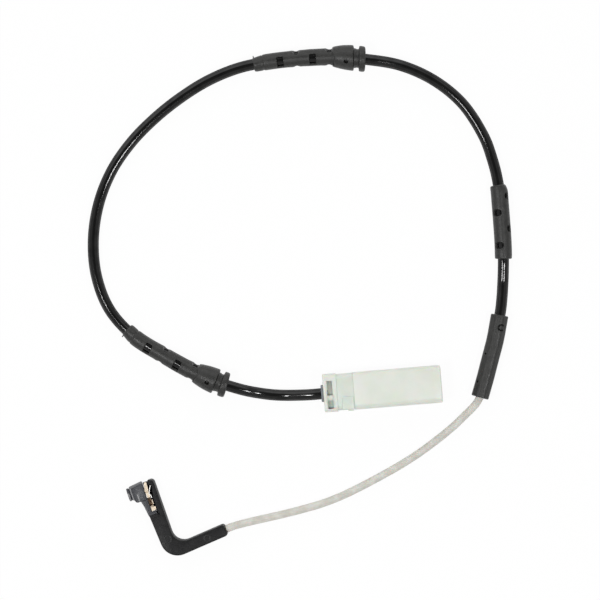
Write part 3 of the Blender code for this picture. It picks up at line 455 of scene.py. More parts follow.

# %% [markdown]
# Rolled metals show fine lines along the rolling direction. A noise whose axes are stretched apart is
# enough. The clip's colour also follows the height, which paints light and shade into it: painted shade
# turns it brown where it dips into the slot, and a painted highlight turns its highest edges almost white.

# %% Bronze, copper and tin
clip_bronze = Finish("clip_bronze", {"Metallic": 0.6})
lines = clip_bronze.place.stretched(9.0, 1.6, 1.0).noise(900.0)
height = clip_bronze.place.axis("Z")
bright = lines.between(0.3, 0.7).blend((0.66, 0.53, 0.38, 1.0), (0.86, 0.76, 0.62, 1.0))
# painted shade: dark brown where the clip dips low into the slot
bronze_with_painted_shade = height.between(0.0030, 0.0047).blend((0.24, 0.15, 0.09, 1.0), bright)
# painted highlight: the highest edges, the top of the tongue, turn almost white
clip_bronze.wire("Base Color", height.between(0.0053, 0.00545).blend(bronze_with_painted_shade, (0.88, 0.87, 0.84, 1.0)))
clip_bronze.wire("Roughness", lines.between(0.3, 0.7) * 0.16 + 0.28)
clip_bronze.bump(lines, 0.00002)

for name, dark, light, rough in (
    ("loop_copper", (0.60, 0.28, 0.15), (0.78, 0.40, 0.24), (0.24, 0.36)),
    ("contact_tin", (0.62, 0.61, 0.58), (0.78, 0.77, 0.74), (0.20, 0.34)),
    ("crimp_tin", (0.55, 0.55, 0.53), (0.72, 0.72, 0.70), (0.28, 0.42)),
):
    clouded(name, {"Metallic": 1.0}, dark, light, 900.0, rough, (4000.0,), 0.00001)
print("finishes so far:", list(FINISHES))

# %% Thin coloured insulation of the cores
for name, dark, light in (
    ("core_brown", (0.08, 0.035, 0.015), (0.12, 0.055, 0.025)),
    ("core_blue", (0.025, 0.05, 0.14), (0.04, 0.075, 0.19)),
):
    clouded(name, {"IOR": 1.5}, dark, light, 800.0, (0.28, 0.40), (3000.0,), 0.00002)
print("finishes:", len(FINISHES))

# %% [markdown]
# ## The two leads
# A lead is a round tube of one thickness, so a curve with a bevel is the natural way: its own line is
# the centre line, and the bevel depth is half the diameter. It runs from inside one fitting to inside
# the next, as the real one does.

# %% Run the leads


def lead(name, route, diameter, slot, node, point_gap):
    """A lead as a bevelled curve along its whole route."""
    count = math.ceil(route.length / point_gap)
    curve = bpy.data.curves.new(name, "CURVE")
    curve.dimensions = "3D"
    curve.bevel_depth = diameter / 2
    curve.bevel_resolution = 8
    curve.use_fill_caps = True
    spline = curve.splines.new("POLY")
    spline.points.add(count)
    for step, spot in enumerate(spline.points):
        spot.co = (*route.point(route.length * step / count), 1)
    curve.materials.append(FINISHES[slot].material)
    piece = bpy.data.objects.new(name, curve)
    bpy.context.scene.collection.objects.link(piece)
    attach(piece, "root")
    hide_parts(node)
    print(name, "length in mm:", round(1000 * route.length, 1))
    return piece


black_cord = lead(
    "black_sheathed_lead", black_route, BLACK_LEAD_DIAMETER, "black_sheath", "black_lead", 0.0012,
)
grey_cord = lead(
    "grey_silicone_lead", grey_route, GREY_LEAD_DIAMETER, "grey_silicone", "grey_lead", 0.0010,
)

# %% [markdown]
# ## Rubber sleeves
# A grommet is moulded straight and bends with the lead, so it is modelled straight along X and each of
# its points is then carried to its place on the route. Its wall is one closed profile of outer and inner
# radii, spun round the axis. Slots alternate round it, which lets the rubber flex: a slot is a patch of
# outer and inner faces taken out, with the two rims bridged. A subdivision surface then gives the soft
# moulded edges, and small bevels on the rims keep them from melting away.

# %% Spin a sleeve's wall and open its slots
SLEEVE_SIDES = 32
SLEEVE_BORE = 0.00222
MID_WALL = 0.0026  # a radius between the inner and the outer skin
FIRM = 0.0002  # a close spacing that keeps an edge firm under the subdivision
RIM_BEVEL = 0.00012
TAIL_LIP = 0.00015
SAME_PLACE = 1e-7


def spun(profile, sides, closed=True):
    """An (x, radius) profile spun about X."""
    bm = bmesh.new()
    points = [bm.verts.new((x, 0, radius)) for x, radius in profile]
    starts = range(0 if closed else 1, len(points))
    edges = [bm.edges.new((points[index - 1], points[index])) for index in starts]
    bmesh.ops.spin(
        bm, geom=points + edges, cent=(0, 0, 0), axis=(1, 0, 0), angle=2 * math.pi, steps=sides,
        use_merge=True,
    )
    bmesh.ops.remove_doubles(bm, verts=bm.verts, dist=SAME_PLACE)
    bmesh.ops.recalc_face_normals(bm, faces=bm.faces)
    return bm


def soften(bm, geom, size, segments=3, affect="EDGES"):
    """Rounds edges, or the corners of a flat face, over."""
    return bmesh.ops.bevel(
        bm, geom=geom, offset=size, offset_type="OFFSET", segments=segments, profile=0.5,
        affect=affect, material=-1,
    )


def turned_away(point, towards):
    """Angle round the sleeve between a point and a direction, from 0 to 180 degrees."""
    around = math.degrees(math.atan2(point.y, point.z))
    return abs((around - towards + 180) % 360 - 180)


def slot_places(middle, halves):
    """Matching outer and inner places for a slot, with a close pair at each end to keep it firm."""
    return [
        [middle - half - 2 * FIRM, middle - half, middle, middle + half, middle + half + 2 * FIRM]
        for half in halves
    ]


def open_slot(bm, middle, halves, towards, spread, narrowing=0.0):
    """Takes a patch out of both walls, bridges the rims and may pinch the slot at both of its ends."""
    gone = []
    for face in bm.faces:
        centre = face.calc_center_median()
        half = halves[0] if centre.yz.length > MID_WALL else halves[1]
        if abs(centre.x - middle) < half and turned_away(centre, towards) < spread:
            gone.append(face)
    bmesh.ops.delete(bm, geom=gone, context="FACES")
    rim = [edge for edge in bm.edges if edge.is_boundary]
    bmesh.ops.bridge_loops(bm, edges=rim)
    soften(bm, [edge for edge in rim if edge.verts[0].co.yz.length > MID_WALL], RIM_BEVEL, 1)
    for vertex in bm.verts:
        beside = vertex.co.x - middle
        turned = turned_away(vertex.co, towards)
        if abs(beside) < halves[0] + FIRM and turned < spread + 8:
            vertex.co.x = middle + beside * (1 - narrowing * min(1, turned / spread) ** 1.5)


def thin_tail(bm, towards, length):
    """Thins the wall at the sleeve's start on one side, down to a lip that hugs the lead."""
    for vertex in bm.verts:
        radius = vertex.co.yz.length
        if radius > MID_WALL and vertex.co.x < length:
            side = max(0.0, math.cos(math.radians(turned_away(vertex.co, towards))))
            share = side * (1 - vertex.co.x / length)
            vertex.co.yz = vertex.co.yz * (1 - share * (1 - (SLEEVE_BORE + TAIL_LIP) / radius))


def bend_along(bm, frame_at):
    """Carries each point from the straight sleeve to the frame at its distance along the route."""
    for vertex in bm.verts:
        vertex.co = frame_at(vertex.co.x) @ Vector((0, vertex.co.y, vertex.co.z))


def put_in_place(name, bm, slot, node, place=Matrix(), subdivision=0, sharp=35.0):
    """Turns the mesh into a riding piece with its finish, in place of its CAD node."""
    bmesh.ops.transform(bm, matrix=place, verts=bm.verts)
    bmesh.ops.remove_doubles(bm, verts=bm.verts, dist=SAME_PLACE)
    bmesh.ops.recalc_face_normals(bm, faces=bm.faces)
    mesh = bpy.data.meshes.new(name)
    bm.to_mesh(mesh)
    bm.free()
    mesh.shade_smooth()
    if not subdivision:
        mesh.set_sharp_from_angle(angle=math.radians(sharp))
    mesh.materials.append(FINISHES[slot].material)
    piece = bpy.data.objects.new(name, mesh)
    bpy.context.scene.collection.objects.link(piece)
    if subdivision:
        surface = piece.modifiers.new("soft_edges", "SUBSURF")
        surface.levels = subdivision
        surface.render_levels = subdivision
    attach(piece, "root")
    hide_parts(node)
    print(name, "faces:", len(mesh.polygons))
    return piece


def cut(piece, tools):
    """Cuts tool meshes out of a piece for good."""
    cutter_data = bpy.data.meshes.new("cutter")
    tools.to_mesh(cutter_data)
    tools.free()
    cutter = bpy.data.objects.new("cutter", cutter_data)
    bpy.context.scene.collection.objects.link(cutter)
    knife = piece.modifiers.new("cut", "BOOLEAN")
    knife.operation = "DIFFERENCE"
    knife.solver = "EXACT"
    knife.object = cutter
    shaped = bpy.data.meshes.new_from_object(piece.evaluated_get(bpy.context.evaluated_depsgraph_get()))
    piece.modifiers.remove(knife)
    old = piece.data
    piece.data = shaped
    shaped.name = piece.name
    bpy.data.meshes.remove(old)
    bpy.data.objects.remove(cutter)
    print(piece.name, "faces after the cut:", len(shaped.polygons))


def drill(piece, place, radius, depth, segments=20):
    """Drills a round hole along the Z axis of a place."""
    tools = bmesh.new()
    bmesh.ops.create_cone(
        tools, cap_ends=True, segments=segments, radius1=radius, radius2=radius, depth=depth, matrix=place,
    )
    cut(piece, tools)


# %% [markdown]
# Both grommets come from one mould: a thin lip that hugs the lead, a windowed body, a steep cone, a drum
# that fills a hole in the car's bracket, a groove that grips the sheet metal, and a flange. The profile
# lists where each of these starts, with pairs of close points where an edge has to stay firm under the
# subdivision. The flank slots are pinched at their ends, so from above each reads as a V.

# %% Two grommets from one mould
GROMMET_TAIL = 0.0104
CUTOUT_PITCH = 0.0126
BODY_LENGTH = 0.0306
CONE_LENGTH = 0.0047
DRUM_LENGTH = 0.0034
GROOVE_LENGTH = 0.0021
FLANGE_LENGTH = 0.0023
BODY_RADIUS = 0.00315
BODY_BULGE = 0.0002
DRUM_RADIUS = 0.0050
GROOVE_RADIUS = 0.0036
FLANGE_RADIUS = 0.00497
GROMMET_ROLL = math.radians(22)
WINDOW = (0.0013, 0.0011)  # half its length on the outer and on the inner skin
NOTCH = (0.0017, 0.0007)
SLOT_SPREAD = 45  # how far a slot reaches round to each side, in degrees


def raise_nub(bm, place, angle, height):
    """Pulls the face nearest to a place on the skin out into a small tab."""
    def far(face):
        centre = face.calc_center_median()
        return abs(centre.x - place) / 0.001 + turned_away(centre, angle) / 15

    skin = [face for face in bm.faces if face.calc_center_median().yz.length > SLEEVE_BORE + 0.0001]
    face = min(skin, key=far)
    out = Vector((0, *face.calc_center_median().yz)).normalized()
    for share in (0.1, 0.9):
        face = bmesh.ops.extrude_discrete_faces(bm, faces=[face])["faces"][0]
        bmesh.ops.translate(bm, verts=face.verts, vec=out * height * share)


def sink_vent(bm, place):
    """Joins the two top faces of the drum and pushes a hole in through them."""
    def on_crown(face):
        centre = face.calc_center_median()
        outside = centre.yz.length > DRUM_RADIUS - 0.0005
        return outside and turned_away(centre, 0) < 11 and abs(centre.x - place) < 0.0004

    joined = bmesh.ops.dissolve_faces(bm, faces=[face for face in bm.faces if on_crown(face)])["region"]
    for thickness in (0.00012, 0.00008):
        bmesh.ops.inset_individual(bm, faces=joined, thickness=thickness)
    hole = bmesh.ops.extrude_discrete_faces(bm, faces=joined)["faces"]
    bmesh.ops.translate(bm, verts=hole[0].verts, vec=(0, 0, -0.0020))


def grommet(name, node, tail_at, backward, stretch, nub_angle, lean):
    """One grommet on the black lead, its tail at a distance along the route."""
    sign = -1 if backward else 1

    def frame_at(place):
        return black_route.frame(tail_at + sign * stretch * place, backward, GROMMET_ROLL)

    windows = [GROMMET_TAIL, GROMMET_TAIL + CUTOUT_PITCH]
    notches = [place + CUTOUT_PITCH / 2 for place in windows]
    drum_full = BODY_LENGTH + CONE_LENGTH
    drum_end = drum_full + DRUM_LENGTH
    flange_start = drum_end + GROOVE_LENGTH
    length = flange_start + FLANGE_LENGTH
    collar = BODY_RADIUS - FIRM / 2
    outer = [
        (0.0, collar - 2 * FIRM), (FIRM, collar - FIRM), (3 * FIRM, collar), (0.0020, collar),
        (0.0033, collar), (0.0035, collar - FIRM), (0.0038, collar - FIRM), (0.0040, BODY_RADIUS),
        (0.0053, BODY_RADIUS), (0.0067, BODY_RADIUS),
    ]
    inner = [(place, SLEEVE_BORE) for place, _ in outer]
    for index, middle in enumerate(sorted(windows + notches)):
        outside, inside = slot_places(middle, NOTCH if middle in notches else WINDOW)
        swell = BODY_BULGE * index / 3
        outer += [(place, BODY_RADIUS + swell) for place in outside]
        inner += [(place, SLEEVE_BORE) for place in inside]
        outer.append((middle + CUTOUT_PITCH / 4, BODY_RADIUS + swell))
        inner.append((middle + CUTOUT_PITCH / 4, SLEEVE_BORE))
    outer[-1] = (BODY_LENGTH + 0.0005, 0.0038)
    inner[-1] = (BODY_LENGTH + 0.0005, SLEEVE_BORE)
    rest = [
        (BODY_LENGTH + 0.0009, 0.0041), (BODY_LENGTH + 0.0029, 0.0045),
        (drum_full - 0.0004, 0.00475), (drum_full + 0.0016, DRUM_RADIUS - FIRM / 2),
        (drum_end - FIRM, DRUM_RADIUS), (drum_end, DRUM_RADIUS - FIRM),
        (drum_end + FIRM / 2, GROOVE_RADIUS + 2 * FIRM), (drum_end + FIRM, GROOVE_RADIUS + FIRM),
        (drum_end + 0.0008, GROOVE_RADIUS + FIRM), (drum_end + 0.0010, GROOVE_RADIUS),
        (flange_start - FIRM, GROOVE_RADIUS), (flange_start - FIRM / 2, GROOVE_RADIUS + FIRM),
        (flange_start, FLANGE_RADIUS - FIRM), (flange_start + FIRM, FLANGE_RADIUS),
        (length - 2 * FIRM, FLANGE_RADIUS), (length, FLANGE_RADIUS - 2 * FIRM),
        (length, FLANGE_RADIUS - 0.001),
    ]
    outer += rest
    inner += [(place, SLEEVE_BORE) for place, _ in rest[:-2]]
    inner += [(length - FIRM, SLEEVE_BORE), (length, SLEEVE_BORE + FIRM)]
    bm = spun(outer + inner[::-1], SLEEVE_SIDES)
    for middle in windows:
        for towards in (0, 180):
            open_slot(bm, middle, WINDOW, towards, SLOT_SPREAD)
    for middle in notches:
        for towards in (90, -90):
            open_slot(bm, middle, NOTCH, towards, SLOT_SPREAD, 0.75)
    thin_tail(bm, nub_angle, 0.0036)
    raise_nub(bm, 0.0004, nub_angle, 0.0009)
    sink_vent(bm, drum_full + 0.0006)
    for vertex in bm.verts:
        if vertex.co.x > BODY_LENGTH:
            aside = vertex.co.y * math.cos(GROMMET_ROLL) - vertex.co.z * math.sin(GROMMET_ROLL)
            vertex.co.x -= lean * aside
    bend_along(bm, frame_at)
    return put_in_place(name, bm, "sleeve_rubber", node, subdivision=2)


top = grommet(
    "upper_bracket_grommet", "top_grommet", tail_at=0.2262, backward=False, stretch=1.0,
    nub_angle=107, lean=0.09,
)
lower = grommet(
    "lower_bracket_grommet", "lower_grommet", tail_at=0.0899, backward=True, stretch=1.03,
    nub_angle=-73, lean=0.0,
)

# %% [markdown]
# The guide sleeve on the right is a plain tube of the same rubber that slides into a clip on the car.
# Its windows are oval, and its flank slots are turned further round, so only their near ends show.

# %% Guide sleeve
GUIDE_LENGTH = 0.0284
GUIDE_RADIUS = 0.00335
GUIDE_AT = 0.3466
GUIDE_WINDOW = (0.0015, 0.0009)
GUIDE_NOTCH = (0.0018, 0.0010)


def guide_frame(place):
    """The frame at a place on the guide sleeve."""
    return black_route.frame(GUIDE_AT + place, roll=math.radians(32))


notches = [0.0043, 0.0043 + CUTOUT_PITCH]
windows = [place + CUTOUT_PITCH / 2 for place in notches]
rounded_end = [(0.0, 0.0004, 0.0001), (0.0001, 0.0002, 0.0), (0.0004, 0.0, 0.0)]
outer = [(place, GUIDE_RADIUS - lower) for place, lower, _ in rounded_end]
inner = [(place, SLEEVE_BORE + wider) for place, _, wider in rounded_end]
for middle in sorted(notches + windows):
    outside, inside = slot_places(middle, GUIDE_NOTCH if middle in notches else GUIDE_WINDOW)
    beyond = middle + CUTOUT_PITCH / 4
    outer += [(place, GUIDE_RADIUS) for place in (*outside, beyond)]
    inner += [(place, SLEEVE_BORE) for place in (*inside, beyond)]
outer += [(GUIDE_LENGTH - place, GUIDE_RADIUS - lower) for place, lower, _ in rounded_end[::-1]]
inner += [(GUIDE_LENGTH - place, SLEEVE_BORE + wider) for place, _, wider in rounded_end[::-1]]
bm = spun(outer + inner[::-1], SLEEVE_SIDES)
for middle in windows:
    open_slot(bm, middle, GUIDE_WINDOW, 0, 34, 0.45)
for middle in notches:
    open_slot(bm, middle, GUIDE_NOTCH, 90, 23, 0.6)
    open_slot(bm, middle, GUIDE_NOTCH, -101.25, 23)
thin_tail(bm, 112, 0.0008)
bend_along(bm, guide_frame)
guide = put_in_place("lead_guide_sleeve", bm, "sleeve_rubber", "right_guide_sleeve", subdivision=2)

# %% [markdown]
# The splice sleeve is harder rubber, pressed flat along its length on eight sides. It starts as a spun
# tube, and each point of its skin is then drawn out towards the edges between the flats. A mould mark and
# two pinholes are cut into it afterwards.

# %% Splice sleeve with long flats
SPLICE_SIDES = 48
SPLICE_FLAT = 0.00335
SPLICE_START = 0.0008
SPLICE_GREY_DEPTH = 0.0095
SPLICE_SKIN = 0.0029  # a radius between the inner and the outer skin
FLAT_ANGLE = 45
EDGE_ROUNDING = 0.955  # keeps the edges between the flats from coming out sharp
MARK_RADIUS = 0.0011
MARK_BEAD = 0.00036

length = splice_route.length
places = [length * step / 12 for step in range(1, 12)]
places = [SPLICE_START, SPLICE_START + 0.0003, *places, length - 0.0003, length]
outer = [(place, SPLICE_FLAT - (0.0003 if place in (SPLICE_START, length) else 0.0)) for place in places]
inner = [(place, SLEEVE_BORE if place < length - SPLICE_GREY_DEPTH else 0.0017) for place in places]
inner[-1] = (length, 0.0022)
bm = spun(outer + inner[::-1], SPLICE_SIDES)
for vertex in bm.verts:
    if vertex.co.yz.length > SPLICE_SKIN:
        around = math.degrees(math.atan2(vertex.co.y, vertex.co.z))
        from_flat = math.radians((around + FLAT_ANGLE / 2) % FLAT_ANGLE - FLAT_ANGLE / 2)
        vertex.co.yz = vertex.co.yz / max(math.cos(from_flat), EDGE_ROUNDING)
bend_along(bm, splice_route.frame)
splice = put_in_place("splice_cover", bm, "sleeve_rubber", "splice_sleeve", sharp=40.0)


def on_splice(place, turn, height):
    """A frame on the splice's skin, turned about its length towards the photograph's left."""
    skin = Matrix.Rotation(math.radians(turn), 4, "X") @ Matrix.Translation((0, 0, height))
    return splice_route.frame(place) @ skin


tools = bmesh.new()
upright = Matrix.Rotation(math.radians(90), 4, "X") @ Matrix.Diagonal((1, 2.4, 1, 1))
bead = bmesh.ops.create_circle(
    tools, segments=12, radius=MARK_BEAD, matrix=Matrix.Translation((MARK_RADIUS, 0, 0)) @ upright,
)
edges = list({edge for vertex in bead["verts"] for edge in vertex.link_edges})
bmesh.ops.spin(
    tools, geom=bead["verts"] + edges, cent=(0, 0, 0), axis=(0, 0, 1), angle=math.radians(290), steps=40,
)
bmesh.ops.holes_fill(tools, edges=[edge for edge in tools.edges if edge.is_boundary])
bmesh.ops.recalc_face_normals(tools, faces=tools.faces)
mark = on_splice(0.0055, -FLAT_ANGLE / 2, SPLICE_FLAT) @ Matrix.Rotation(math.radians(125), 4, "Z")
bmesh.ops.transform(tools, matrix=mark, verts=tools.verts)
cut(splice, tools)
for place, turn in ((0.0166, 45), (0.0278, 52)):
    drill(splice, on_splice(place, turn, 0.0034), 0.00042, 0.003)

# %% [markdown]
# ## The plug
# Each moulding of the plug starts as one flat rectangle with rounded corners, pulled along the plug's
# length. Insetting an end face leaves the wall, and bridging the two inner rims hollows the tube.

# %% Bars with rounded corners
PLUG_THICKNESS = 0.0110
PLUG_WIDTH = 0.0144
PLUG_CORNER = 0.0022
PLUG_WALL = 0.0014
GAP = 0.0003
SEAM = 0.00004
CAP_LENGTH = 0.0052
CAP_WIDTH = 0.0147
COLLAR_LENGTH = 0.0059
SHROUD_LENGTH = 0.0338
CARRIER_REACH = 0.0126
COLLAR_START = CAP_LENGTH + SEAM
SHROUD_START = CAP_LENGTH + COLLAR_LENGTH + 2 * GAP
SHROUD_END = SHROUD_START + SHROUD_LENGTH
plug_place = Matrix.Translation((0.0563, 0.0476, PLUG_THICKNESS / 2))
plug_frame = plug_place @ Matrix.Rotation(math.radians(4.7), 4, "Z")


def verts_in(parts):
    """The vertices among what an operator made."""
    return [part for part in parts if isinstance(part, bmesh.types.BMVert)]


def pull(bm, face, way):
    """Extrudes a face by a vector, keeps it where it was and returns the one at the far end."""
    pulled = bmesh.ops.extrude_face_region(bm, geom=[face], use_keep_orig=True)["geom"]
    bmesh.ops.translate(bm, verts=verts_in(pulled), vec=way)
    return next(part for part in pulled if isinstance(part, bmesh.types.BMFace))


def bar(bm, low, high, width, height, corner):
    """A bar along X with rounded long edges. It returns its rear and front faces."""
    lie = Matrix.Translation((low, 0, 0)) @ Matrix.Rotation(math.radians(90), 4, "Y")
    made = bmesh.ops.create_grid(
        bm, x_segments=1, y_segments=1, size=0.5, matrix=lie @ Matrix.Diagonal((height, width, 1, 1)),
    )
    rounded = soften(bm, made["verts"], corner, 6, "VERTICES")
    faces = [face for vertex in rounded["verts"] for face in vertex.link_faces]
    rear = max(faces, key=lambda face: face.calc_area())
    return rear, pull(bm, rear, (high - low, 0, 0))


def rim_edges(bm, x, least=0.0):
    """Edges that lie in the plane at x, as far out from the axis as asked."""
    found = []
    for edge in bm.edges:
        in_plane = all(abs(vertex.co.x - x) < 1e-6 for vertex in edge.verts)
        middle = (edge.verts[0].co + edge.verts[1].co) / 2
        if in_plane and max(abs(middle.y) / PLUG_WIDTH, abs(middle.z) / PLUG_THICKNESS) > least:
            found.append(edge)
    return found


bm = bmesh.new()
rear, front = bar(bm, SHROUD_START, SHROUD_END, PLUG_WIDTH, PLUG_THICKNESS, PLUG_CORNER)
bmesh.ops.recalc_face_normals(bm, faces=bm.faces)
bmesh.ops.inset_region(bm, faces=[rear, front], thickness=PLUG_WALL, use_even_offset=True)
bmesh.ops.delete(bm, geom=[rear, front], context="FACES_ONLY")
bmesh.ops.bridge_loops(bm, edges=[edge for edge in bm.edges if edge.is_boundary])
soften(bm, rim_edges(bm, SHROUD_END, 0.45), 0.0007, 4)
soften(bm, rim_edges(bm, SHROUD_START, 0.45), 0.0001)
shroud = put_in_place("plug_shroud", bm, "plug_nylon", "plug_housing", plug_frame)

# %% [markdown]
# The collar belongs to the part that holds the contacts. A spring tab on top and a lug at the side lock
# the cap on, and in front a plain block round the contacts reaches into the shroud.

# %% Collar, tab, lug and the contact block


def add_bar(bm, low, high, size):
    """A separate small block between two corners, its edges rounded."""
    low = Vector(low)
    high = Vector(high)
    place = Matrix.Translation((low + high) / 2) @ Matrix.Diagonal((*(high - low), 1))
    block = bmesh.ops.create_cube(bm, size=1, matrix=place)
    edges = list({edge for vertex in block["verts"] for edge in vertex.link_edges})
    soften(bm, edges, size, 2)


COLLAR_END = SHROUD_START - SEAM
CARRIER_END = SHROUD_START + CARRIER_REACH
CONTACT_PITCH = 0.0048
COLLAR_STEP = 0.0002
half = PLUG_WIDTH / 2 - COLLAR_STEP
top_face = PLUG_THICKNESS / 2 - COLLAR_STEP

bm = bmesh.new()
bar(bm, COLLAR_START, COLLAR_END, 2 * half, 2 * top_face, PLUG_CORNER)
soften(bm, rim_edges(bm, COLLAR_START) + rim_edges(bm, COLLAR_END), 0.0001)
inner_width = PLUG_WIDTH - 2 * PLUG_WALL - 2 * GAP
inner_height = PLUG_THICKNESS - 2 * PLUG_WALL - 2 * GAP
bar(bm, COLLAR_END - 0.0005, CARRIER_END, inner_width, inner_height, PLUG_CORNER / 2)
soften(bm, rim_edges(bm, CARRIER_END), 0.0003)
tab = (COLLAR_END - 0.0047, -half + 0.0003, 0.0020), (COLLAR_END - GAP, -half + 0.0051, top_face + 0.0004)
lug = (COLLAR_END - 0.0027, -half - 0.0005, -0.0015), (COLLAR_END - GAP, -half / 2, 0.0015)
latch_plate = (0.00145, -0.0058, 0.0026), (COLLAR_START + 0.0010, 0.0050, 0.0031)
add_bar(bm, *tab, 0.0003)
add_bar(bm, *lug, 0.0003)
add_bar(bm, *latch_plate, 0.0001)
collar = put_in_place("contact_block", bm, "carrier_nylon", "contact_carrier", plug_frame)

# %% Rear cap with its two windows
CAP_WALL = 0.0012
CAP_REAR_WALL = 0.0014
CAP_BORE = 0.0038
CAP_WINDOWS = [(0.0019, 0.0056), (-0.0044, 0.0032)]  # middle and width across the plug

bm = bmesh.new()
bar(bm, 0.0, CAP_LENGTH, CAP_WIDTH, PLUG_THICKNESS, PLUG_CORNER)
soften(bm, rim_edges(bm, 0.0), 0.0005)
soften(bm, rim_edges(bm, CAP_LENGTH), 0.0001)
cap = put_in_place("plug_cap", bm, "plug_nylon", "plug_rear_cap", plug_frame)
tools = bmesh.new()
room = (CAP_WIDTH - 2 * CAP_WALL, PLUG_THICKNESS - 2 * CAP_WALL)
bar(tools, CAP_REAR_WALL, CAP_LENGTH + 0.001, *room, 0.0011)
bmesh.ops.recalc_face_normals(tools, faces=tools.faces)
bmesh.ops.transform(tools, matrix=plug_frame, verts=tools.verts)
cut(cap, tools)
aim = Matrix.Translation((CAP_REAR_WALL / 2, 0, 0)) @ Matrix.Rotation(math.radians(90), 4, "Y")
drill(cap, plug_frame @ aim, CAP_BORE, 0.004, 48)
for middle, width in CAP_WINDOWS:
    tools = bmesh.new()
    place = plug_frame @ Matrix.Translation((0.0025, middle, PLUG_THICKNESS / 2))
    bmesh.ops.create_cube(tools, size=1, matrix=place @ Matrix.Diagonal((0.0021, width, 0.0044, 1)))
    cut(cap, tools)

# %% [markdown]
# The seal is a spun rubber ring that grips the lead. Only its nose shows behind the cap, and its flange
# through the cap's windows. The contacts are spun as well: a barrel, a shoulder and a rounded pin.

# %% Seal and contacts
SEAL_NOSE = 0.0033
SEAL_FLANGE = 0.0025
SEAL_RIB = 0.0039
SEAL_BORE = 0.0022
BARREL_RADIUS = 0.00095
PIN_RADIUS = 0.00075

profile = [
    (-0.0009, SEAL_BORE), (-0.0009, SEAL_NOSE - 0.0004), (-0.0008, SEAL_NOSE - 0.0001),
    (-0.0005, SEAL_NOSE), (0.0017, SEAL_NOSE), (0.0017, SEAL_FLANGE - 0.0001), (0.0018, SEAL_FLANGE),
    (CAP_LENGTH, SEAL_FLANGE),
]
for turn in range(3):
    start = CAP_LENGTH + turn * 0.001
    profile += [(start + 0.0002, SEAL_RIB - 0.0004), (start + 0.0005, SEAL_RIB), (start + 0.0007, SEAL_RIB)]
profile += [(0.0082, SEAL_RIB - 0.0004), (0.0082, SEAL_BORE)]
seal = put_in_place("lead_seal", spun(profile, 64), "seal_rubber", "cable_seal", plug_frame)

barrel_start = SHROUD_START + 0.0009
barrel_end = barrel_start + 0.0080
pin_end = barrel_end + 0.0130
profile = [
    (barrel_start, 0.0), (barrel_start, BARREL_RADIUS - 0.0001), (barrel_start + 0.0001, BARREL_RADIUS),
    (barrel_end, BARREL_RADIUS), (barrel_end + 0.0004, PIN_RADIUS), (pin_end - 0.0015, PIN_RADIUS),
    (pin_end - 0.0008, 0.00068), (pin_end - 0.0003, 0.00045), (pin_end - 0.00005, 0.00018), (pin_end, 0.0),
]
for letter, side in (("a", 1), ("b", -1)):
    aside = plug_frame @ Matrix.Translation((0, side * CONTACT_PITCH / 2, 0))
    pin = spun(profile, 40, closed=False)
    put_in_place("round_contact_" + letter, pin, "contact_tin", "contact_pin_" + letter, aside)

# %% [markdown]
# ## The head
# The overmould is a flat L with rounded corners. Its outline is one polygon whose corners are rounded
# one at a time, each by its own radius, before the face is pulled up to the full thickness. The rounded
# rim of the real moulding is a bevel on the outer edges only, because the slot's edges are sharp.

# %% Outline of the arm
ARM_THICKNESS = 0.0060
ARM_EDGE = 0.0009
TOP_EDGE = 0.0005
SLOT_FLOOR = 0.0099
LEAN = 0.0007
LEAD_BORE = 0.00155
MM = 0.001  # the corner lists are in millimetres
ARM_CORNERS = [
    (2.2, 3.4, 0.8), (5.1, 3.4, 1.4), (5.1, -23.5, 5.0), (25.05, -22.04, 1.2), (25.4, -26.82, 1.7),
    (-0.2, -28.7, 6.8), (-1.3, -9.9, 0.2), (2.4, -9.9, 0.2), (2.5, -3.7, 0.2), (3.5, 1.2, 0.2),
    (2.2, 1.7, 0.2),
]
WEB_CORNERS = [
    (0.2, -8.6, 0.1), (1.93, -8.6, 0.1), (1.93, -10.1, 0.1), (3.8, -10.1, 0.2), (3.8, 2.0, 0.2),
    (1.8, 3.0, 0.2), (0.42, 3.0, 0.2),
]
DRAFT_SIDE = Vector((0.85, 0.52))
DRAFT_START = 0.0034


def rounded_plate(bm, corners, low, high):
    """A plate from (x, y, radius) corners. It returns its upper and lower faces."""
    others = set(bm.faces)
    corners = [(Vector((x, y)) * MM, radius * MM) for x, y, radius in corners]
    points = [bm.verts.new((*corner, low)) for corner, _ in corners]
    bm.faces.new(points)
    for index, (corner, radius) in enumerate(corners):
        before = (corners[index - 1][0] - corner).normalized()
        after = (corners[(index + 1) % len(corners)][0] - corner).normalized()
        reach = radius / math.tan(before.angle(after) / 2)
        soften(bm, [points[index]], reach, 3 + round(radius * 1500), "VERTICES")
    face = next(one for one in bm.faces if one not in others)
    return pull(bm, face, (0, 0, high - low)), face


def in_slot(edge):
    """Whether an edge of the arm's rim belongs to the slot."""
    middle = (edge.verts[0].co + edge.verts[1].co) / 2
    return middle.y > -SLOT_FLOOR - 0.0003 and middle.x < 0.00362


bm = bmesh.new()
upper, under = rounded_plate(bm, ARM_CORNERS, 0.0, ARM_THICKNESS)
bmesh.ops.recalc_face_normals(bm, faces=bm.faces)
bmesh.ops.bisect_plane(
    bm, geom=bm.verts[:] + bm.edges[:] + bm.faces[:], plane_co=(0, 0, DRAFT_START), plane_no=(0, 0, 1),
)
bm.normal_update()
rim = {vertex for edge in upper.edges if not in_slot(edge) for vertex in edge.verts}
sides = {vertex: Vector(vertex.normal.xy).normalized() for vertex in rim}
for vertex, side in sides.items():
    vertex.co.xy -= side * max(0, side.dot(DRAFT_SIDE)) * LEAN
soften(bm, [edge for edge in under.edges if not in_slot(edge)], ARM_EDGE, 4)
soften(bm, [edge for edge in upper.edges if not in_slot(edge)], TOP_EDGE, 4)
arm = put_in_place("overmoulded_arm", bm, "arm_black", "arm_body", head_frame)

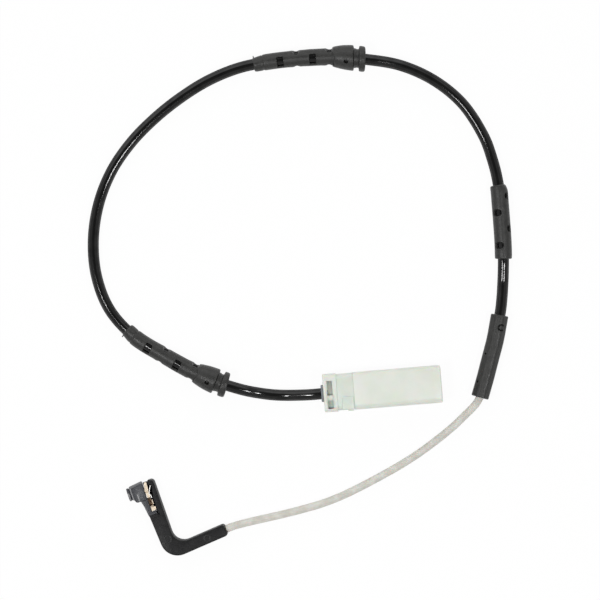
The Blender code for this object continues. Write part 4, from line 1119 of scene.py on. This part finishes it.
tools = bmesh.new()
bore = [grey_route.frame(grey_route.length + 0.0003 - step * 0.0024) for step in range(6)]
facing = bore[0] @ Matrix.Rotation(math.radians(90), 4, "Y")
circle = bmesh.ops.create_circle(tools, segments=32, radius=LEAD_BORE, matrix=facing, cap_ends=True)
loop = circle["verts"]
for place, step in zip(bore, bore[1:]):
    edges = {edge for vertex in loop for edge in vertex.link_edges if all(end in loop for end in edge.verts)}
    loop = verts_in(bmesh.ops.extrude_edge_only(tools, edges=list(edges))["geom"])
    bmesh.ops.transform(tools, matrix=step @ place.inverted(), verts=loop)
bmesh.ops.holes_fill(tools, edges=[edge for edge in tools.edges if edge.is_boundary])
bmesh.ops.recalc_face_normals(tools, faces=tools.faces)
cut(arm, tools)
drill(arm, head_frame @ Matrix.Translation((0.00246, -0.0103, ARM_THICKNESS)), 0.0003, 0.002)
web = bmesh.new()
rounded_plate(web, WEB_CORNERS, GAP, 0.0016)
bmesh.ops.recalc_face_normals(web, faces=web.faces)
bmesh.ops.transform(web, matrix=head_frame, verts=web.verts)
web.from_mesh(arm.data)
web.to_mesh(arm.data)
web.free()

# %% [markdown]
# The graphite insert is moulded first, round the hairpin of wire. A short neck joins its block to the
# round tip that touches the disc. A tapered stem runs down beside the slot to a foot at the slot's floor.
# The far wall of the block leans back a little, as a moulded wall must to leave its mould, and its nose
# slopes down towards the tip.

# %% Insert with its tip
MIDDLE = ARM_THICKNESS / 2
FAR_WALL = 0.0020  # the block's far wall lies beyond this y
FAR_LEAN = 0.0010
NOSE_START = -0.0040
NOSE_SLOPE = 0.6
NECK = (-0.0056, -0.0053, 0.0022, 0.0001)  # start, end, radius and rounding
TIP = (-0.00645, -0.0055, 0.00255, 0.0002)
BLOCK_CORNERS = [
    (-5.45, 3.15, 0.6), (-5.45, -2.0, 0.5), (-4.6, -2.5, 0.1), (-4.3, -3.6, 1.0), (-0.1, -3.8, 0.5),
    (0.3, 3.75, 0.6),
]
STEM_CORNERS = [
    (-2.62, -3.0, 0.3), (-2.4, -4.1, 0.5), (-2.0, -5.8, 0.4), (-1.45, -10.2, 0.3), (1.9, -10.2, 0.3),
    (1.9, -8.7, 0.3), (0.15, -8.7, 0.1), (0.15, -3.0, 0.3),
]

body = bmesh.new()
upper, under = rounded_plate(body, BLOCK_CORNERS, GAP / 3, ARM_THICKNESS - GAP / 3)
soften(body, list(upper.edges) + list(under.edges), 0.0004, 3)
for vertex in body.verts:
    above = max(0.0, vertex.co.z - MIDDLE) / MIDDLE
    if vertex.co.y > FAR_WALL:
        vertex.co.y -= FAR_LEAN * above
    nose = max(0.0, NOSE_START - vertex.co.x)
    vertex.co.z -= NOSE_SLOPE * nose * above
for start, end, radius, edge_size in (NECK, TIP):
    place = Matrix.Translation(((start + end) / 2, 0.00030, MIDDLE))
    disc = bmesh.ops.create_cone(
        body, cap_ends=True, segments=48, radius1=radius, radius2=radius, depth=end - start,
        matrix=place @ Matrix.Rotation(math.radians(90), 4, "Y"),
    )
    ends = {edge for vertex in disc["verts"] for edge in vertex.link_edges}
    soften(body, [edge for edge in ends if abs(edge.verts[0].co.x - edge.verts[1].co.x) < 1e-6], edge_size, 2)
upper, under = rounded_plate(body, STEM_CORNERS, GAP, ARM_THICKNESS - 2 * GAP)
soften(body, list(upper.edges) + list(under.edges), 0.0002, 3)
put_in_place("wear_insert", body, "block_graphite", "sensing_block", head_frame)

# %% [markdown]
# The spring clip is one strip of bronze. Its broad top lies on the step of the slot and narrows to a
# bright fold, dips down, and comes up again in an end tab. A flange and a tongue stand on edge beside it,
# and the tongue presses against the arm. A strip is a row of edges pulled sideways into faces, which then
# get the thickness of the sheet.

# %% Folded spring clip
SHEET = 0.0004
CLIP_TOP = 0.0052
CLIP_LOW = 0.0024
TOP_CORNERS = [
    (0.97, 2.9, 0.2), (1.85, 2.75, 0.2), (1.68, 0.2, 0.3), (1.4, -1.2, 0.2), (0.22, -1.2, 0.2),
    (0.15, 0.2, 0.4),
]
TAB_CORNERS = [
    (0.41, -6.94, 0.2), (2.22, -7.01, 0.2), (2.1, -8.34, 0.2), (0.32, -8.51, 0.2),
]


def folded(bm, line, across, thickness):
    """A strip along a line of points, pulled across by a vector and given its thickness."""
    points = [bm.verts.new(point) for point in line]
    edges = [bm.edges.new(pair) for pair in zip(points, points[1:])]
    pulled = bmesh.ops.extrude_edge_only(bm, edges=edges)["geom"]
    bmesh.ops.translate(bm, verts=verts_in(pulled), vec=across)
    faces = [part for part in pulled if isinstance(part, bmesh.types.BMFace)]
    bmesh.ops.recalc_face_normals(bm, faces=faces)
    bmesh.ops.solidify(bm, geom=faces, thickness=thickness)


bm = bmesh.new()
rounded_plate(bm, TOP_CORNERS, CLIP_TOP - 2 * SHEET, CLIP_TOP - SHEET)
fold_line = [
    (0.00025, -0.0011, CLIP_TOP - 2 * SHEET), (0.00030, -0.0014, CLIP_TOP - SHEET),
    (0.00033, -0.0028, CLIP_TOP - SHEET), (0.00033, -0.0031, CLIP_TOP - 0.0010), (0.00020, -0.0034, CLIP_LOW),
    (0.00020, -0.0067, CLIP_LOW), (0.00035, -0.0069, CLIP_TOP - 2 * SHEET),
]
folded(bm, fold_line, (0.00120, 0, 0), SHEET)
rounded_plate(bm, TAB_CORNERS, CLIP_TOP - SHEET, CLIP_TOP)
folded(bm, [(0.0019, -0.0043, CLIP_LOW), (0.0019, -0.0060, CLIP_LOW)], (0, 0, 0.0026), 0.0003)
tongue = [(1.6, -3.6), (2.1, -3.4), (2.1, -2.9), (1.6, -1.8), (1.9, -1.1), (2.6, 0.2), (3.1, 1.0)]
folded(bm, [(x * MM, y * MM, CLIP_LOW) for x, y in tongue], (0, 0, 0.0031), 0.0003)
put_in_place("spring_clip", bm, "clip_bronze", "retaining_clip", head_frame)

# %% [markdown]
# ## Nodes that keep their packed shape
# The cores, crimps and the wire loop are simple round pieces inside the mouldings. Their packed shape is
# already right, so each only takes the finish that its record names.

# %% Dress the inner pieces
slots = {part["node"]: part["material_slot"] for part in frame["record"]["subparts"]}
dressed = []
for name, shape in nodes.items():
    if not shape.hide_render:
        shape.data.materials.clear()
        shape.data.materials.append(FINISHES[slots[name]].material)
        dressed.append(name)
print("dressed:", sorted(dressed))

# The grey one leaves the head and ends in the splice, and the black one leaves the splice and ends in
# the plug.

# %% Points on the cords
INSIDE_HEAD = 0.0125  # how much of the grey lead lies in the head
BLACK_EXIT_AT = 0.3962

grey_route.point(grey_route.length - INSIDE_HEAD)
black_route.point(BLACK_EXIT_AT)

# %% The dressed size
low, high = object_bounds()
print("dressed box in mm:", [round(1000 * side, 1) for side in high - low])
